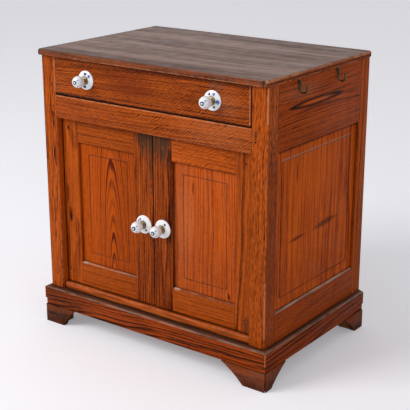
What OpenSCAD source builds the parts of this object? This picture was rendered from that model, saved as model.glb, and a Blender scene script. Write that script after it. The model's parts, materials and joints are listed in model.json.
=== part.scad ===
// Small pitch pine cupboard: one drawer over two framed doors, on a plinth with bracket feet.
// Millimetres. X runs along the front, the front faces -Y, Z is up.
// The origin lies on the floor, midway between the outermost points of the cupboard.

/* [Case] */
// Width of the case across its corner posts
case_w = 786; // [680:1:940]
// Depth of the case from the front posts to the back
case_d = 528; // [460:1:620]
// Side of the square corner posts
post_w = 50; // [46:1:60]
// Height of the bracket feet under the plinth
foot_h = 56; // [44:1:76]
// Height of the plinth boards
plinth_h = 63; // [54:1:84]
// Thickness of the bottom board
bottom_t = 18; // [16:1:24]
// Height of the opening for the doors
door_opening_h = 519; // [430:1:620]
// Height of the rail between the drawer and the doors
drawer_rail_h = 67; // [50:1:90]
// Depth of that rail from front to back
drawer_rail_d = 66; // [64:1:90]
// Height of the opening for the drawer
drawer_opening_h = 114; // [100:1:150]
// Width of the eased arris along posts, rails and stiles
arris = 1.2; // [0.5:0.1:2]

/* [Top board] */
// Thickness of the top board
top_t = 18; // [15:1:26]
// Overhang at each side
top_over_side = 5; // [2:1:14]
// Overhang at the front
top_over_front = 13; // [6:1:24]
// Overhang at the back
top_over_back = 3; // [1:1:10]
// Radius of the rounded corners seen from above
top_corner_r = 8; // [7:1:30]
// Radius of the upper edge of the nosing
top_nose_r = 6; // [3:0.5:7.5]
// Radius of the lower edge of the nosing
top_under_r = 3.5; // [2:0.5:5]

/* [Sides] */
// Thickness of the side rails
side_rail_t = 24; // [20:1:28]
// Height of the side's bottom rail that shows above the plinth
side_bottom_show = 88; // [60:1:120]
// Chamfer along the upper edge of the side's bottom rail
side_chamfer = 7; // [3:0.5:9]
// Thickness of the side panels
panel_t = 10; // [8:0.5:13]
// Depth of the panel's face behind the posts
panel_recess = 8; // [6:0.5:10]
// Depth of the grooves that hold the panels
panel_groove = 8; // [5:0.5:9]
// Distance from the side panel's edge to its scribed line
side_field_in = 32; // [20:1:60]

/* [Plinth and feet] */
// How far the plinth stands out from the case
plinth_proud = 16; // [12:1:22]
// Fall of the weathered upper face of the plinth
plinth_fall = 5; // [3:0.5:10]
// Height of the set back band along the plinth's lower edge
plinth_band_h = 19; // [12:1:26]
// How far that band is set back
plinth_band_in = 3; // [1.5:0.5:5]
// Width of the quirk above the band
quirk_w = 2; // [1:0.5:4]
// Depth of the quirk behind the band
quirk_d = 1.5; // [1:0.5:4]
// Side of the square corner blocks over the floor
corner_block_w = 44; // [36:1:50]
// Length on the floor of each foot's front bracket
foot_front_flat = 74; // [50:1:100]
// Length at the top of the front left foot's front bracket
foot_left_reach = 116; // [105:1:170]
// Length at the top of the front right foot's front bracket
foot_right_reach = 148; // [110:1:180]
// Length on the floor of each front foot's side bracket
foot_side_flat = 32; // [30:1:60]
// Length on the floor of each back foot's bracket
foot_back_flat = 45; // [30:1:60]
// Length at the top of each foot's side bracket
foot_side_reach = 106; // [85:1:150]
// Depth of the hollow cut in a bracket's slope
foot_hollow = 4; // [2:0.5:8]
// Open joint where the two brackets of a foot meet
foot_joint = 4; // [1:0.5:6]

/* [Inside and back] */
// Height of the front and back bottom rails
low_rail_h = 57; // [40:1:63]
// Thickness of the front and back rails
rail_t = 24; // [20:1:28]
// Height of the back top rail
back_top_rail_h = 60; // [45:1:90]
// Thickness of the back boards
back_t = 12; // [9:0.5:14]
// Depth of the back boards behind the back of the posts
back_inset = 2; // [1:0.5:5]
// Depth of the rebates that hold the back boards
back_rebate = 10; // [6:0.5:14]
// Setback of the bottom board's front edge
bottom_front_in = 6; // [2:0.5:12]
// Height of the shelf's upper face above the bottom board
shelf_up = 262; // [150:1:330]
// Thickness of the shelf
shelf_t = 18; // [14:1:24]
// Setback of the shelf's front edge
shelf_front_in = 62; // [56:1:140]
// Height of the battens under the shelf
batten_h = 26; // [18:1:40]
// Width of the battens under the shelf
batten_w = 26; // [18:1:28]
// Thickness of the drawer runners
runner_t = 22; // [16:1:30]
// Width of the runners inside the posts
runner_in = 23; // [18:1:36]
// Height of the guide on each runner
guide_h = 22; // [14:1:40]
// Height of the door stop block
stop_h = 18; // [12:1:30]
// Length of the door stop block
stop_len = 120; // [60:1:200]

/* [Doors] */
// Depth of the doors behind the front of the posts
door_recess = 20; // [16:0.5:22]
// Thickness of the doors
door_t = 24; // [21:0.5:26]
// Gap round the doors
door_gap = 2.5; // [2.2:0.1:4]
// Gap between the two doors
meeting_gap = 2.6; // [2.4:0.1:5]
// Width of the stile that the door hangs by
hinge_stile_w = 59; // [52:1:76]
// Width of the stile that carries the knob
meeting_stile_w = 66; // [60:1:80]
// Height of the door's top rail
door_top_rail_h = 67; // [48:1:100]
// Height of the door's bottom rail
door_bottom_rail_h = 74; // [50:1:110]
// Thickness of the door panels
door_panel_t = 9; // [7:0.5:10]
// Depth of the door panel's face behind the frame
door_panel_recess = 9; // [7:0.5:10]
// Chamfer along the upper edge of the door's bottom rail
door_chamfer = 5; // [2:0.5:6]
// Distance from the door panel's edge to its scribed line
door_field_in = 34; // [20:1:60]
// Distance from the door's edge to its pivot
pivot_in = 10; // [8:0.5:12]
// Distance from the door's front to its pivot
pivot_back = 9; // [8:0.5:11]
// Chamfer on the front arris beside the pivot
pivot_chamfer = 2.5; // [2:0.1:4]
// Radius of the pivot pins
pin_r = 3.5; // [2.5:0.1:4]
// Length of the pivot pins inside the door
pin_up = 20; // [12:1:30]
// Length of the pivot pins inside the case
pin_in = 12; // [8:1:14]

/* [Drawer] */
// Thickness of the drawer front
drawer_front_t = 22; // [18:1:26]
// Gap over the drawer front
drawer_gap_top = 1.5; // [1:0.1:4]
// Gap under the drawer front
drawer_gap_bottom = 4; // [2:0.1:7]
// Gap at the left of the drawer front
drawer_gap_left = 1.5; // [1:0.1:5]
// Gap at the right of the drawer front
drawer_gap_right = 4.5; // [1:0.1:6]
// Length of the drawer from its face to its back end
drawer_len = 436; // [330:1:440]
// Height of the drawer sides
drawer_side_h = 102; // [80:1:105]
// Thickness of the drawer sides
drawer_side_t = 12; // [10:0.5:15]
// Thickness of the drawer back
drawer_back_t = 12; // [10:0.5:15]
// Thickness of the drawer bottom
drawer_bottom_t = 7; // [5:0.5:9]
// Height of the drawer bottom above the lower edge of the sides
drawer_bottom_up = 11; // [10:0.5:16]
// Number of dovetails at each front corner
dovetails = 3; // [2:1:3]
// Length of the dovetails
dovetail_len = 14; // [9:0.5:16]
// Half width of a dovetail at its end
dovetail_half = 12; // [9:0.5:14]
// How much narrower half a dovetail is at its root
dovetail_flare = 2.8; // [1:0.2:4]
// Length of the drawer stops along the rail
drawer_stop_len = 40; // [20:1:80]
// Depth of the drawer stops
drawer_stop_d = 34; // [20:1:38]
// How far the drawer stops stand up behind the drawer front
drawer_stop_lap = 2; // [1:0.5:3]

/* [Knobs] */
// Radius of the porcelain ball
knob_r = 17; // [14:0.5:19]
// Length of the brass neck that shows between the rose and the ball
knob_neck_len = 11; // [9:0.5:24]
// Depth of the flat ground on the back of the ball
knob_flat = 2; // [1.5:0.5:4]
// Depth of the socket in the ball
knob_socket = 12; // [8:1:18]
// Radius of the porcelain rose
rose_r = 27; // [25:0.5:29]
// Thickness of the rose at its middle
rose_t = 7; // [6:0.5:9]
// Thickness of the rose at its rim
rose_rim_t = 2.5; // [1.5:0.5:4]
// Radius of the brass spindle
spindle_r = 4; // [3:0.25:4.5]
// Radius of the brass neck round the spindle
neck_r = 6; // [5.5:0.25:8]
// Radius of the brass collar behind the ball
ball_collar_r = 8; // [6.5:0.25:10]
// Radius of the brass collar on the rose
rose_collar_r = 12; // [8:0.25:13]
// Thickness of the brass collars
neck_collar_t = 2; // [1:0.5:3]
// Length of the cones between the neck and its collars
neck_cone = 2; // [1:0.5:3]
// Thickness of the nut behind the wood
nut_t = 5; // [3:0.5:8]
// Length of the spindle that stands out of its nut
spindle_past_nut = 2; // [1:0.5:5]
// Distance of each drawer knob from the middle
drawer_knob_x = 221; // [120:1:260]
// Height of the drawer knobs above the drawer rail
drawer_knob_up = 58; // [45:1:66]
// Height of the door knobs above the bottom of the doors
door_knob_up = 244; // [150:1:330]
// Distance of a rose's screws from its middle
rose_screw_at = 18; // [17:0.5:21]
// Thickness of the porcelain under the screw heads
rose_screw_seat = 3; // [2:0.5:3.5]
// Radius of the rose screws
screw_r = 1.6; // [1.2:0.1:2]
// Length of the rose screws in the wood
screw_len = 12; // [8:1:16]
// Turn from upright of the screws in the left drawer rose
left_rose_turn = 0; // [-90:5:90]
// Turn from upright of the screws in the right drawer rose
right_rose_turn = -25; // [-90:5:90]
// Turn from upright of the screws in the door roses
door_rose_turn = -35; // [-90:5:90]

/* [Side hooks] */
// Radius of the wire
wire_r = 2.8; // [2:0.1:3.2]
// Distance from the side's face to the hook's straight drop
hook_out = 5.4; // [4:0.1:10]
// Length of the straight drop
hook_drop = 20; // [14:1:34]
// Radius of the bow at the middle of the wire
hook_bow_r = 10; // [7:0.5:13]
// Length of the hook's upturned end
hook_tip = 10; // [2:0.5:16]
// Length of the thread in the wood
hook_thread = 16; // [8:1:18]
// Distance of the hooks under the top board
hook_under = 8; // [8:1:30]
// Distance of the front hook from the front of the case
hook_front_y = 143; // [80:1:200]
// Distance between the two hooks
hook_apart = 200; // [80:1:240]

/* [Joints and fastenings] */
// Length of the tenons in the posts
tenon_len = 22; // [16:1:24]
// Thickness of the tenons
tenon_t = 9; // [7:0.5:10]
// Shoulder above and below the tenons
tenon_shoulder = 10; // [9:1:14]
// Distance of the door tenons' ends from the edge of the stile
door_tenon_in = 17; // [17:0.5:24]
// Distance of the front rails' tenons from the front
front_tenon_in = 13; // [10:0.5:14]
// Clearance round tenons, panels and boards
slack = 0.2; // [0.1:0.05:0.3]
// Room left at the end of tenons and in the panel grooves
end_room = 0.8; // [0.5:0.1:0.9]
// Clearance round pins, spindles, screws and hook threads
round_fit = 0.05; // [0.02:0.01:0.09]
// Radius of the wooden pegs
peg_r = 3.5; // [2.5:0.1:4.5]
// Length of the pegs in the doors
door_peg_len = 20; // [16:0.5:20.5]
// Distance of the door pegs from the shoulder of their tenon
door_peg_in = 33; // [8:1:34]
// Length of the pegs in the posts
frame_peg_len = 30; // [26:1:36]
// Distance of the posts' pegs from the shoulder of their tenon
frame_peg_in = 12; // [8:0.5:14]
// Radius of the dowels under the top board
dowel_r = 5; // [3:0.5:6]
// Length of those dowels
dowel_len = 38; // [26:1:50]
// How far those dowels go into the top board
dowel_in_top = 11; // [7:0.5:12]
// Distance of the end dowels from the front and the back of the case
dowel_from_end = 16; // [10:1:20]

/* [Colours] */
// Posts, rails and plinth
frame_colour = "sienna";
// Doors and panels
door_colour = "peru";
// Top board
top_colour = "dimgray";
// Unseen pine inside and behind
inner_colour = "burlywood";
// Porcelain
porcelain_colour = "ghostwhite";
// Brass fittings
brass_colour = "darkkhaki";
// Iron hooks and pins
iron_colour = "darkslategray";

/* [Hidden] */
$fn = 64;
over = 1;
half_w = case_w / 2;
half_open = half_w - post_w;
floor_z = foot_h + plinth_h;
open_z = floor_z + bottom_t;
rail_z = open_z + door_opening_h;
drawer_z = rail_z + drawer_rail_h;
top_z = drawer_z + drawer_opening_h;
low_rail_z = floor_z - low_rail_h;
side_panel_z = floor_z + side_bottom_show;
back_y = case_d - back_inset - back_t;
back_post_y = case_d - post_w;
back_tenon_y = back_y - (rail_t + tenon_t) / 2;
panel_in = panel_recess + panel_t;
shelf_z = open_z + shelf_up;

ball_back = rose_t + knob_neck_len;
knob_reach = ball_back + 2 * knob_r - knob_flat;
hook_reach = hook_out + 2 * hook_bow_r + wire_r;
right_reach = max(plinth_proud, hook_reach, top_over_side);
left_reach = max(plinth_proud, top_over_side);
front_reach = max(knob_reach, plinth_proud, top_over_front);
shift_x = (left_reach - right_reach) / 2;
shift_y = (front_reach - case_d - top_over_back) / 2;

door_w = half_open - door_gap - meeting_gap / 2;
door_h = door_opening_h - 2 * door_gap;
door_z = open_z + door_gap;
door_inner_end = door_w - meeting_stile_w;
door_inner_w = door_inner_end - hinge_stile_w;
pivot_x = half_open - door_gap - pivot_in;
pivot_y = door_recess + pivot_back;
pin_collar_r = 2 * pin_r;
ride = 0.3;

drawer_left = -half_open + drawer_gap_left;
drawer_right = half_open - drawer_gap_right;
drawer_low = drawer_z + drawer_gap_bottom;
drawer_high = top_z - drawer_gap_top;
drawer_side_z = drawer_z + ride;
drawer_side_top = drawer_side_z + drawer_side_h;
drawer_bottom_z = drawer_side_z + drawer_bottom_up;
drawer_bottom_in = drawer_side_t / 2;
drawer_housing = drawer_side_t / 3;
drawer_back_drop = 4;
drawer_knob_z = drawer_z + drawer_knob_up;

ball_pin_r = 1.25 * spindle_r;
nut_r = 2.2 * spindle_r;
screw_head_r = 2 * screw_r;
screw_head_t = screw_r;
scribe_w = 3;
scribe_d = 1.4;
peg_slack = 0.1;

// Puts a piece drawn in case coordinates into the cupboard's own frame.
// In case coordinates the front of the posts is y = 0 and x = 0 is the middle.
module placed() {
    translate([shift_x, shift_y, 0]) children();
}

module mirrored() {
    mirror([1, 0, 0]) children();
}

// A plain block between two corners, made larger by grow on every side.
module block(low, high, grow = [0, 0, 0]) {
    translate(low - grow) cube(high - low + 2 * grow);
}

module eased_outline(w, d) {
    polygon([
        [arris, 0], [w - arris, 0], [w, arris], [w, d - arris],
        [w - arris, d], [arris, d], [0, d - arris], [0, arris],
    ]);
}

// A bar between two corners with its four long arrises eased.
module bar_x(low, high) {
    size = high - low;
    translate(low) rotate([90, 0, 90]) linear_extrude(size.x) eased_outline(size.y, size.z);
}

module bar_y(low, high) {
    size = high - low;
    translate([low.x, high.y, low.z]) rotate([90, 0, 0]) linear_extrude(size.y)
        eased_outline(size.x, size.z);
}

module bar_z(low, high) {
    size = high - low;
    translate(low) linear_extrude(size.z) eased_outline(size.x, size.y);
}

// A round bore or pin that starts at a face and runs along +Y.
module rod_y(r, length) {
    rotate([-90, 0, 0]) cylinder(r = r, h = length);
}

module rod_x(r, length) {
    rotate([0, 90, 0]) cylinder(r = r, h = length);
}

// A rectangle of four V cuts, in the face y = 0 of a panel that lies behind it.
module scribed_rectangle(w, h) {
    cut = scribe_w / 2 * (1 + over / scribe_d);
    section = [[-over, -cut], [scribe_d, 0], [-over, cut]];
    for (z = [0, h]) translate([0, 0, z]) rotate([90, 0, 90]) linear_extrude(w) polygon(section);
    for (x = [0, w]) translate([x, 0, 0]) linear_extrude(h)
        polygon([for (p = section) [p.y, p.x]]);
}

// Long cores shared by the rails, which keep them, and the posts, which are cut by them.
module side_rail_core(low, high, grow = [0, 0, 0]) {
    block(
        [-half_w + panel_recess, post_w - tenon_len, low + tenon_shoulder],
        [-half_w + panel_recess + tenon_t, back_post_y + tenon_len, high - tenon_shoulder],
        grow
    );
}

module cross_rail_core(y, low, high, grow = [0, 0, 0]) {
    block(
        [-half_open - tenon_len, y, low + tenon_shoulder],
        [half_open + tenon_len, y + tenon_t, high - tenon_shoulder],
        grow
    );
}

module side_panel_core(grow = [0, 0, 0]) {
    block(
        [-half_w + panel_recess, post_w - panel_groove, side_panel_z - panel_groove],
        [-half_w + panel_in, back_post_y + panel_groove, rail_z + panel_groove],
        grow
    );
}

module side_joints() {
    along_y = [slack, end_room, slack];
    side_rail_core(rail_z, top_z, along_y);
    side_rail_core(low_rail_z, side_panel_z, along_y);
    side_panel_core([slack, end_room, end_room]);
}

module back_board_space() {
    block(
        [-half_open - back_rebate, back_y - slack, foot_h - over],
        [half_open + back_rebate, case_d + over, top_z + over]
    );
}

// Pegs: the front one pins the drawer rail, the side ones pin the side rails.
module left_frame_pegs(r, out) {
    rail_middle = rail_z + drawer_rail_h / 2;
    translate([-half_open - frame_peg_in, -out, rail_middle]) rod_y(r, frame_peg_len + out);
    for (y = [post_w - frame_peg_in, back_post_y + frame_peg_in])
        for (z = [(low_rail_z + side_panel_z) / 2, rail_middle, drawer_z + drawer_opening_h / 2])
            translate([-half_w - out, y, z]) rod_x(r, frame_peg_len + out);
}

module left_top_dowels(r) {
    for (y = [dowel_from_end, case_d / 2, case_d - dowel_from_end])
        translate([-half_w + side_rail_t / 2, y, top_z + dowel_in_top - dowel_len])
            cylinder(r = r, h = dowel_len);
}

module left_frame_bores() {
    left_frame_pegs(peg_r + peg_slack, over);
    left_top_dowels(dowel_r + peg_slack);
}

// Section of the nosing, from x = -top_corner_r to its edge at x = 0.
module nose_profile() {
    d = top_corner_r;
    intersection() {
        translate([-d, 0]) square([d, top_t]);
        union() {
            translate([-d, 0]) square([d - top_nose_r, top_t]);
            translate([-d, 0]) square([d - top_under_r, top_t - top_nose_r]);
            translate([-d, top_under_r]) square([d, top_t - top_under_r - top_nose_r]);
            translate([-top_nose_r, top_t - top_nose_r]) circle(top_nose_r);
            translate([-top_under_r, top_under_r]) circle(top_under_r);
        }
    }
}

// The blank lies on z = 0 with its middle at x = 0, y = 0.
module top_blank(w, d) {
    inner_w = w - 2 * top_corner_r;
    inner_d = d - 2 * top_corner_r;
    translate([-inner_w / 2, -inner_d / 2, 0]) cube([inner_w, inner_d, top_t]);
    for (half_turn = [0, 180]) rotate([0, 0, half_turn]) {
        translate([w / 2, inner_d / 2, 0]) rotate([90, 0, 0]) linear_extrude(inner_d) nose_profile();
        translate([-inner_w / 2, d / 2, 0]) rotate([90, 0, 90]) linear_extrude(inner_w) nose_profile();
        translate([inner_w / 2, inner_d / 2, 0]) rounded_corner(0);
        translate([-inner_w / 2, inner_d / 2, 0]) rounded_corner(90);
    }
}

module rounded_corner(turn) {
    rotate([0, 0, turn]) rotate_extrude(angle = 90) translate([top_corner_r, 0]) nose_profile();
}

module top_board() color(top_colour) placed() difference() {
    translate([0, (case_d + top_over_back - top_over_front) / 2, top_z])
        top_blank(case_w + 2 * top_over_side, case_d + top_over_front + top_over_back);
    left_top_dowels(dowel_r + peg_slack);
    mirrored() left_top_dowels(dowel_r + peg_slack);
}

module left_front_post_shape() {
    along_x = [end_room, slack, slack];
    difference() {
        bar_z([-half_w, 0, foot_h], [-half_open, post_w, top_z]);
        side_joints();
        cross_rail_core(front_tenon_in, rail_z, drawer_z, along_x);
        cross_rail_core(front_tenon_in, low_rail_z, floor_z, along_x);
        left_frame_bores();
    }
}

module left_back_post_shape() {
    along_x = [end_room, slack, slack];
    difference() {
        bar_z([-half_w, back_post_y, foot_h], [-half_open, case_d, top_z]);
        side_joints();
        back_board_space();
        cross_rail_core(back_tenon_y, top_z - back_top_rail_h, top_z, along_x);
        cross_rail_core(back_tenon_y, low_rail_z, floor_z, along_x);
        left_frame_bores();
    }
}

module front_left_post() color(frame_colour) placed() left_front_post_shape();
module front_right_post() color(frame_colour) placed() mirrored() left_front_post_shape();
module back_left_post() color(frame_colour) placed() left_back_post_shape();
module back_right_post() color(frame_colour) placed() mirrored() left_back_post_shape();

module left_side_top_rail_shape() {
    difference() {
        union() {
            bar_y([-half_w, post_w, rail_z], [-half_w + side_rail_t, back_post_y, top_z]);
            side_rail_core(rail_z, top_z);
        }
        side_panel_core([slack, end_room, end_room]);
        left_frame_bores();
    }
}

module hook_places() {
    for (y = [hook_front_y, hook_front_y + hook_apart])
        translate([half_w, y, top_z - hook_under]) children();
}

module left_side_top_rail() color(frame_colour) placed() left_side_top_rail_shape();

module right_side_top_rail() color(frame_colour) placed() difference() {
    mirrored() left_side_top_rail_shape();
    hook_places() translate([-hook_thread - over, 0, 0]) rod_x(wire_r + round_fit, hook_thread + 2 * over);
}

module left_side_bottom_rail_shape() {
    outer = -half_w;
    inner = -half_w + side_rail_t;
    difference() {
        union() {
            translate([0, back_post_y, 0]) rotate([90, 0, 0]) linear_extrude(back_post_y - post_w)
                polygon([
                    [outer, low_rail_z], [inner, low_rail_z], [inner, side_panel_z],
                    [outer + side_chamfer, side_panel_z], [outer, side_panel_z - side_chamfer],
                ]);
            side_rail_core(low_rail_z, side_panel_z);
        }
        side_panel_core([slack, end_room, end_room]);
        left_frame_bores();
    }
}

module left_side_bottom_rail() color(frame_colour) placed() left_side_bottom_rail_shape();
module right_side_bottom_rail() color(frame_colour) placed() mirrored() left_side_bottom_rail_shape();

module left_side_panel_shape() {
    field_w = back_post_y - post_w - 2 * side_field_in;
    field_h = rail_z - side_panel_z - 2 * side_field_in;
    difference() {
        side_panel_core();
        translate([-half_w + panel_recess, back_post_y - side_field_in, side_panel_z + side_field_in])
            rotate([0, 0, -90]) scribed_rectangle(field_w, field_h);
    }
}

module left_side_panel() color(door_colour) placed() left_side_panel_shape();
module right_side_panel() color(door_colour) placed() mirrored() left_side_panel_shape();

// Both pivot bores of the case at one height, from just under to just over the pins in it.
module pivot_bores(z) {
    for (x = [-pivot_x, pivot_x])
        translate([x, pivot_y, z - end_room]) cylinder(r = pin_r + round_fit, h = pin_in + 2 * end_room);
}

module drawer_rail() color(frame_colour) placed() difference() {
    union() {
        bar_x([-half_open, 0, rail_z], [half_open, drawer_rail_d, drawer_z]);
        cross_rail_core(front_tenon_in, rail_z, drawer_z);
    }
    left_frame_bores();
    mirrored() left_frame_bores();
    pivot_bores(rail_z);
}

module front_bottom_rail() color(inner_colour) placed() {
    bar_x([-half_open, 0, low_rail_z], [half_open, rail_t, floor_z]);
    cross_rail_core(front_tenon_in, low_rail_z, floor_z);
}

module back_rail_shape(low, high) {
    bar_x([-half_open, back_y - rail_t, low], [half_open, back_y, high]);
    cross_rail_core(back_tenon_y, low, high);
}

module back_top_rail() color(inner_colour) placed() back_rail_shape(top_z - back_top_rail_h, top_z);
module back_bottom_rail() color(inner_colour) placed() back_rail_shape(low_rail_z, floor_z);

// One of three equal boards nailed upright over the back.
module back_board(index) {
    span = 2 * (half_open + back_rebate - slack);
    width = span / 3;
    left = -span / 2 + index * width;
    bar_z([left + slack, back_y, low_rail_z], [left + width - slack, back_y + back_t, top_z - slack]);
}

module back_board_left() color(inner_colour) placed() back_board(0);
module back_board_middle() color(inner_colour) placed() back_board(1);
module back_board_right() color(inner_colour) placed() back_board(2);

module post_notches(low, high) {
    gap = [slack, slack, over];
    for (x = [-half_w, half_open]) for (y = [0, back_post_y])
        block([x, y, low], [x + post_w, y + post_w, high], gap);
}

module bottom_board() color(inner_colour) placed() difference() {
    half = half_w - side_rail_t - slack;
    block([-half, bottom_front_in, floor_z], [half, back_y - slack, open_z]);
    post_notches(floor_z, open_z);
    pivot_bores(open_z - pin_in);
}

module shelf() color(inner_colour) placed() difference() {
    half = half_w - panel_in - slack;
    block([-half, shelf_front_in, shelf_z - shelf_t], [half, back_y - slack, shelf_z]);
    post_notches(shelf_z - shelf_t, shelf_z);
}

module left_shelf_batten() {
    outer = -half_w + panel_in + slack;
    top = shelf_z - shelf_t;
    bar_y([outer, post_w, top - batten_h], [outer + batten_w, back_post_y, top]);
}

module shelf_battens() color(inner_colour) placed() {
    left_shelf_batten();
    mirrored() left_shelf_batten();
}

// A bearer that carries the drawer side, with a guide beside it.
module left_runner_shape() {
    outer = -half_w + side_rail_t;
    inner = -half_open + runner_in;
    translate([0, back_post_y, 0]) rotate([90, 0, 0]) linear_extrude(back_post_y - drawer_rail_d)
        polygon([
            [outer, drawer_z - runner_t], [inner, drawer_z - runner_t], [inner, drawer_z],
            [-half_open, drawer_z], [-half_open, drawer_z + guide_h], [outer, drawer_z + guide_h],
        ]);
}

module drawer_runners() color(inner_colour) placed() {
    left_runner_shape();
    mirrored() left_runner_shape();
}

// Two blocks on the drawer rail stop the drawer front, and one block under it stops the doors.
module stop_blocks() color(inner_colour) placed() {
    drawer_stop_y = drawer_front_t + ride;
    for (x = [-drawer_knob_x, drawer_knob_x])
        block(
            [x - drawer_stop_len / 2, drawer_stop_y, drawer_z],
            [x + drawer_stop_len / 2, drawer_stop_y + drawer_stop_d, drawer_low + drawer_stop_lap]
        );
    door_stop_y = door_recess + door_t + ride;
    bar_x([-stop_len / 2, door_stop_y, rail_z - stop_h], [stop_len / 2, drawer_rail_d - arris, rail_z]);
}

// Section of the plinth: x is the distance in front of the case, y is the height.
module plinth_section() {
    quirk_z = foot_h + plinth_band_h;
    band = plinth_proud - plinth_band_in;
    polygon([
        [0, foot_h], [band, foot_h], [band, quirk_z], [band - quirk_d, quirk_z],
        [band - quirk_d, quirk_z + quirk_w], [plinth_proud, quirk_z + quirk_w],
        [plinth_proud, floor_z - plinth_fall], [0, floor_z],
    ]);
}

// Ground plan of a mitred board at the front, and of one at the left.
module front_plan(out, gap) {
    polygon([
        [-half_w - out + gap, -out], [half_w + out - gap, -out], [half_w - gap, 0], [-half_w + gap, 0],
    ]);
}

module left_plan(out, gap) {
    polygon([[-half_w - out, -out + gap], [-half_w, gap], [-half_w, case_d], [-half_w - out, case_d]]);
}

module plinth_front() color(frame_colour) placed() intersection() {
    translate([-half_w - plinth_proud, 0, 0]) rotate([90, 0, 90])
        linear_extrude(case_w + 2 * plinth_proud) mirror([1, 0]) plinth_section();
    linear_extrude(top_z) front_plan(plinth_proud, slack);
}

module left_plinth_shape() {
    intersection() {
        translate([-half_w, case_d, 0]) rotate([90, 0, 0])
            linear_extrude(case_d + plinth_proud) mirror([1, 0]) plinth_section();
        linear_extrude(top_z) left_plan(plinth_proud, slack);
    }
}

module plinth_left() color(frame_colour) placed() left_plinth_shape();
module plinth_right() color(frame_colour) placed() mirrored() left_plinth_shape();

// Outline of a bracket that stands at x = 0 and reaches along +X, its slope cut to a hollow arc.
module bracket_outline(flat, reach) {
    h = foot_h - slack;
    run = reach - flat;
    chord = norm([run, h]);
    arc_r = (chord * chord / 4 + foot_hollow * foot_hollow) / (2 * foot_hollow);
    away = arc_r - foot_hollow;
    difference() {
        polygon([[0, 0], [flat, 0], [reach, h], [0, h]]);
        translate([(flat + reach) / 2 + away * h / chord, h / 2 - away * run / chord])
            circle(arc_r, $fn = 128);
    }
}

module left_front_bracket(reach) {
    intersection() {
        translate([-half_w - plinth_proud, 0, 0]) rotate([90, 0, 0])
            linear_extrude(plinth_proud) bracket_outline(foot_front_flat, reach);
        linear_extrude(foot_h) front_plan(plinth_proud, foot_joint / 2);
    }
}

module left_side_bracket() {
    intersection() {
        translate([-half_w - plinth_proud, -plinth_proud, 0]) rotate([90, 0, 90])
            linear_extrude(plinth_proud) bracket_outline(foot_side_flat, foot_side_reach);
        linear_extrude(foot_h) left_plan(plinth_proud, foot_joint / 2);
    }
}

module left_rear_bracket() {
    translate([-half_w - plinth_proud, case_d, 0]) rotate([90, 0, 90])
        linear_extrude(plinth_proud) mirror([1, 0]) bracket_outline(foot_back_flat, foot_side_reach);
}

module front_left_foot() color(frame_colour) placed() {
    left_front_bracket(foot_left_reach);
    left_side_bracket();
}

module front_right_foot() color(frame_colour) placed() mirrored() {
    left_front_bracket(foot_right_reach);
    left_side_bracket();
}

module back_left_foot() color(frame_colour) placed() left_rear_bracket();
module back_right_foot() color(frame_colour) placed() mirrored() left_rear_bracket();

module foot_corner_blocks() color(inner_colour) placed() {
    w = corner_block_w;
    for (x = [-half_w, half_w - w]) for (y = [0, case_d - w])
        bar_z([x, y, 0], [x + w, y + w, foot_h]);
}

// The pegs of the posts, and the dowels that hold the top board.
module frame_pegs() color(frame_colour) placed() {
    left_frame_pegs(peg_r, 0);
    left_top_dowels(dowel_r);
    mirrored() left_frame_pegs(peg_r, 0);
    mirrored() left_top_dowels(dowel_r);
}

// A wire hook screwed into the face x = 0: out, down, round a bow and up to its tip.
module wire_hook() {
    flange_r = 2.4 * wire_r;
    translate([-hook_thread, 0, 0]) rod_x(wire_r, hook_thread + hook_out);
    rod_x(flange_r, wire_r / 2);
    translate([hook_out, 0, 0]) sphere(wire_r);
    translate([hook_out, 0, -hook_drop]) cylinder(r = wire_r, h = hook_drop);
    translate([hook_out + hook_bow_r, 0, -hook_drop]) rotate([-90, 0, 0])
        rotate_extrude(angle = 180) translate([hook_bow_r, 0]) circle(wire_r);
    translate([hook_out + 2 * hook_bow_r, 0, -hook_drop]) {
        cylinder(r = wire_r, h = hook_tip);
        translate([0, 0, hook_tip]) sphere(wire_r);
    }
}

module side_hooks() color(iron_colour) placed() hook_places() wire_hook();

// Each door turns on a lower pin with a collar and on a plain upper pin.
module door_pivot_pins() color(iron_colour) placed() {
    for (x = [-pivot_x, pivot_x]) translate([x, pivot_y, 0]) {
        translate([0, 0, open_z - pin_in]) cylinder(r = pin_r, h = pin_in + door_gap + pin_up);
        translate([0, 0, open_z]) cylinder(r = pin_collar_r, h = door_gap - ride);
        translate([0, 0, rail_z - door_gap - pin_up]) cylinder(r = pin_r, h = pin_in + door_gap + pin_up);
    }
}

// Knob set. Each piece is drawn on the face y = 0 and reaches out along -Y.
module turned_out() {
    rotate([90, 0, 0]) rotate_extrude() children();
}

module knob_ball_shape() {
    turned_out() difference() {
        intersection() {
            translate([0, knob_reach - knob_r]) circle(knob_r);
            translate([0, ball_back]) square([knob_r, knob_reach]);
        }
        translate([-over, ball_back - over]) square([ball_pin_r + round_fit + over, knob_socket + over]);
    }
}

// The rose is flat under the brass collar and curves from there to its rim, on a circle whose
// middle lies this far in front of the face behind the rose.
function rose_middle() =
    (rose_collar_r ^ 2 - rose_r ^ 2 + rose_t ^ 2 - rose_rim_t ^ 2) / (2 * (rose_t - rose_rim_t));

module rose_screw_places(turn) {
    for (a = [turn, turn + 180]) rotate([0, a, 0]) translate([0, 0, rose_screw_at]) children();
}

module rose_shape(turn) {
    difference() {
        turned_out() difference() {
            intersection() {
                translate([0, rose_middle()])
                    circle(norm([rose_collar_r, rose_t - rose_middle()]), $fn = 256);
                square([rose_r, rose_t]);
            }
            translate([-over, -over]) square([spindle_r + round_fit + over, rose_t + 2 * over]);
        }
        rose_screw_places(turn) translate([0, -rose_t - over, 0]) {
            rod_y(screw_r + round_fit, rose_t + 2 * over);
            rod_y(screw_head_r + slack, rose_t + over - rose_screw_seat);
        }
    }
}

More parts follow.
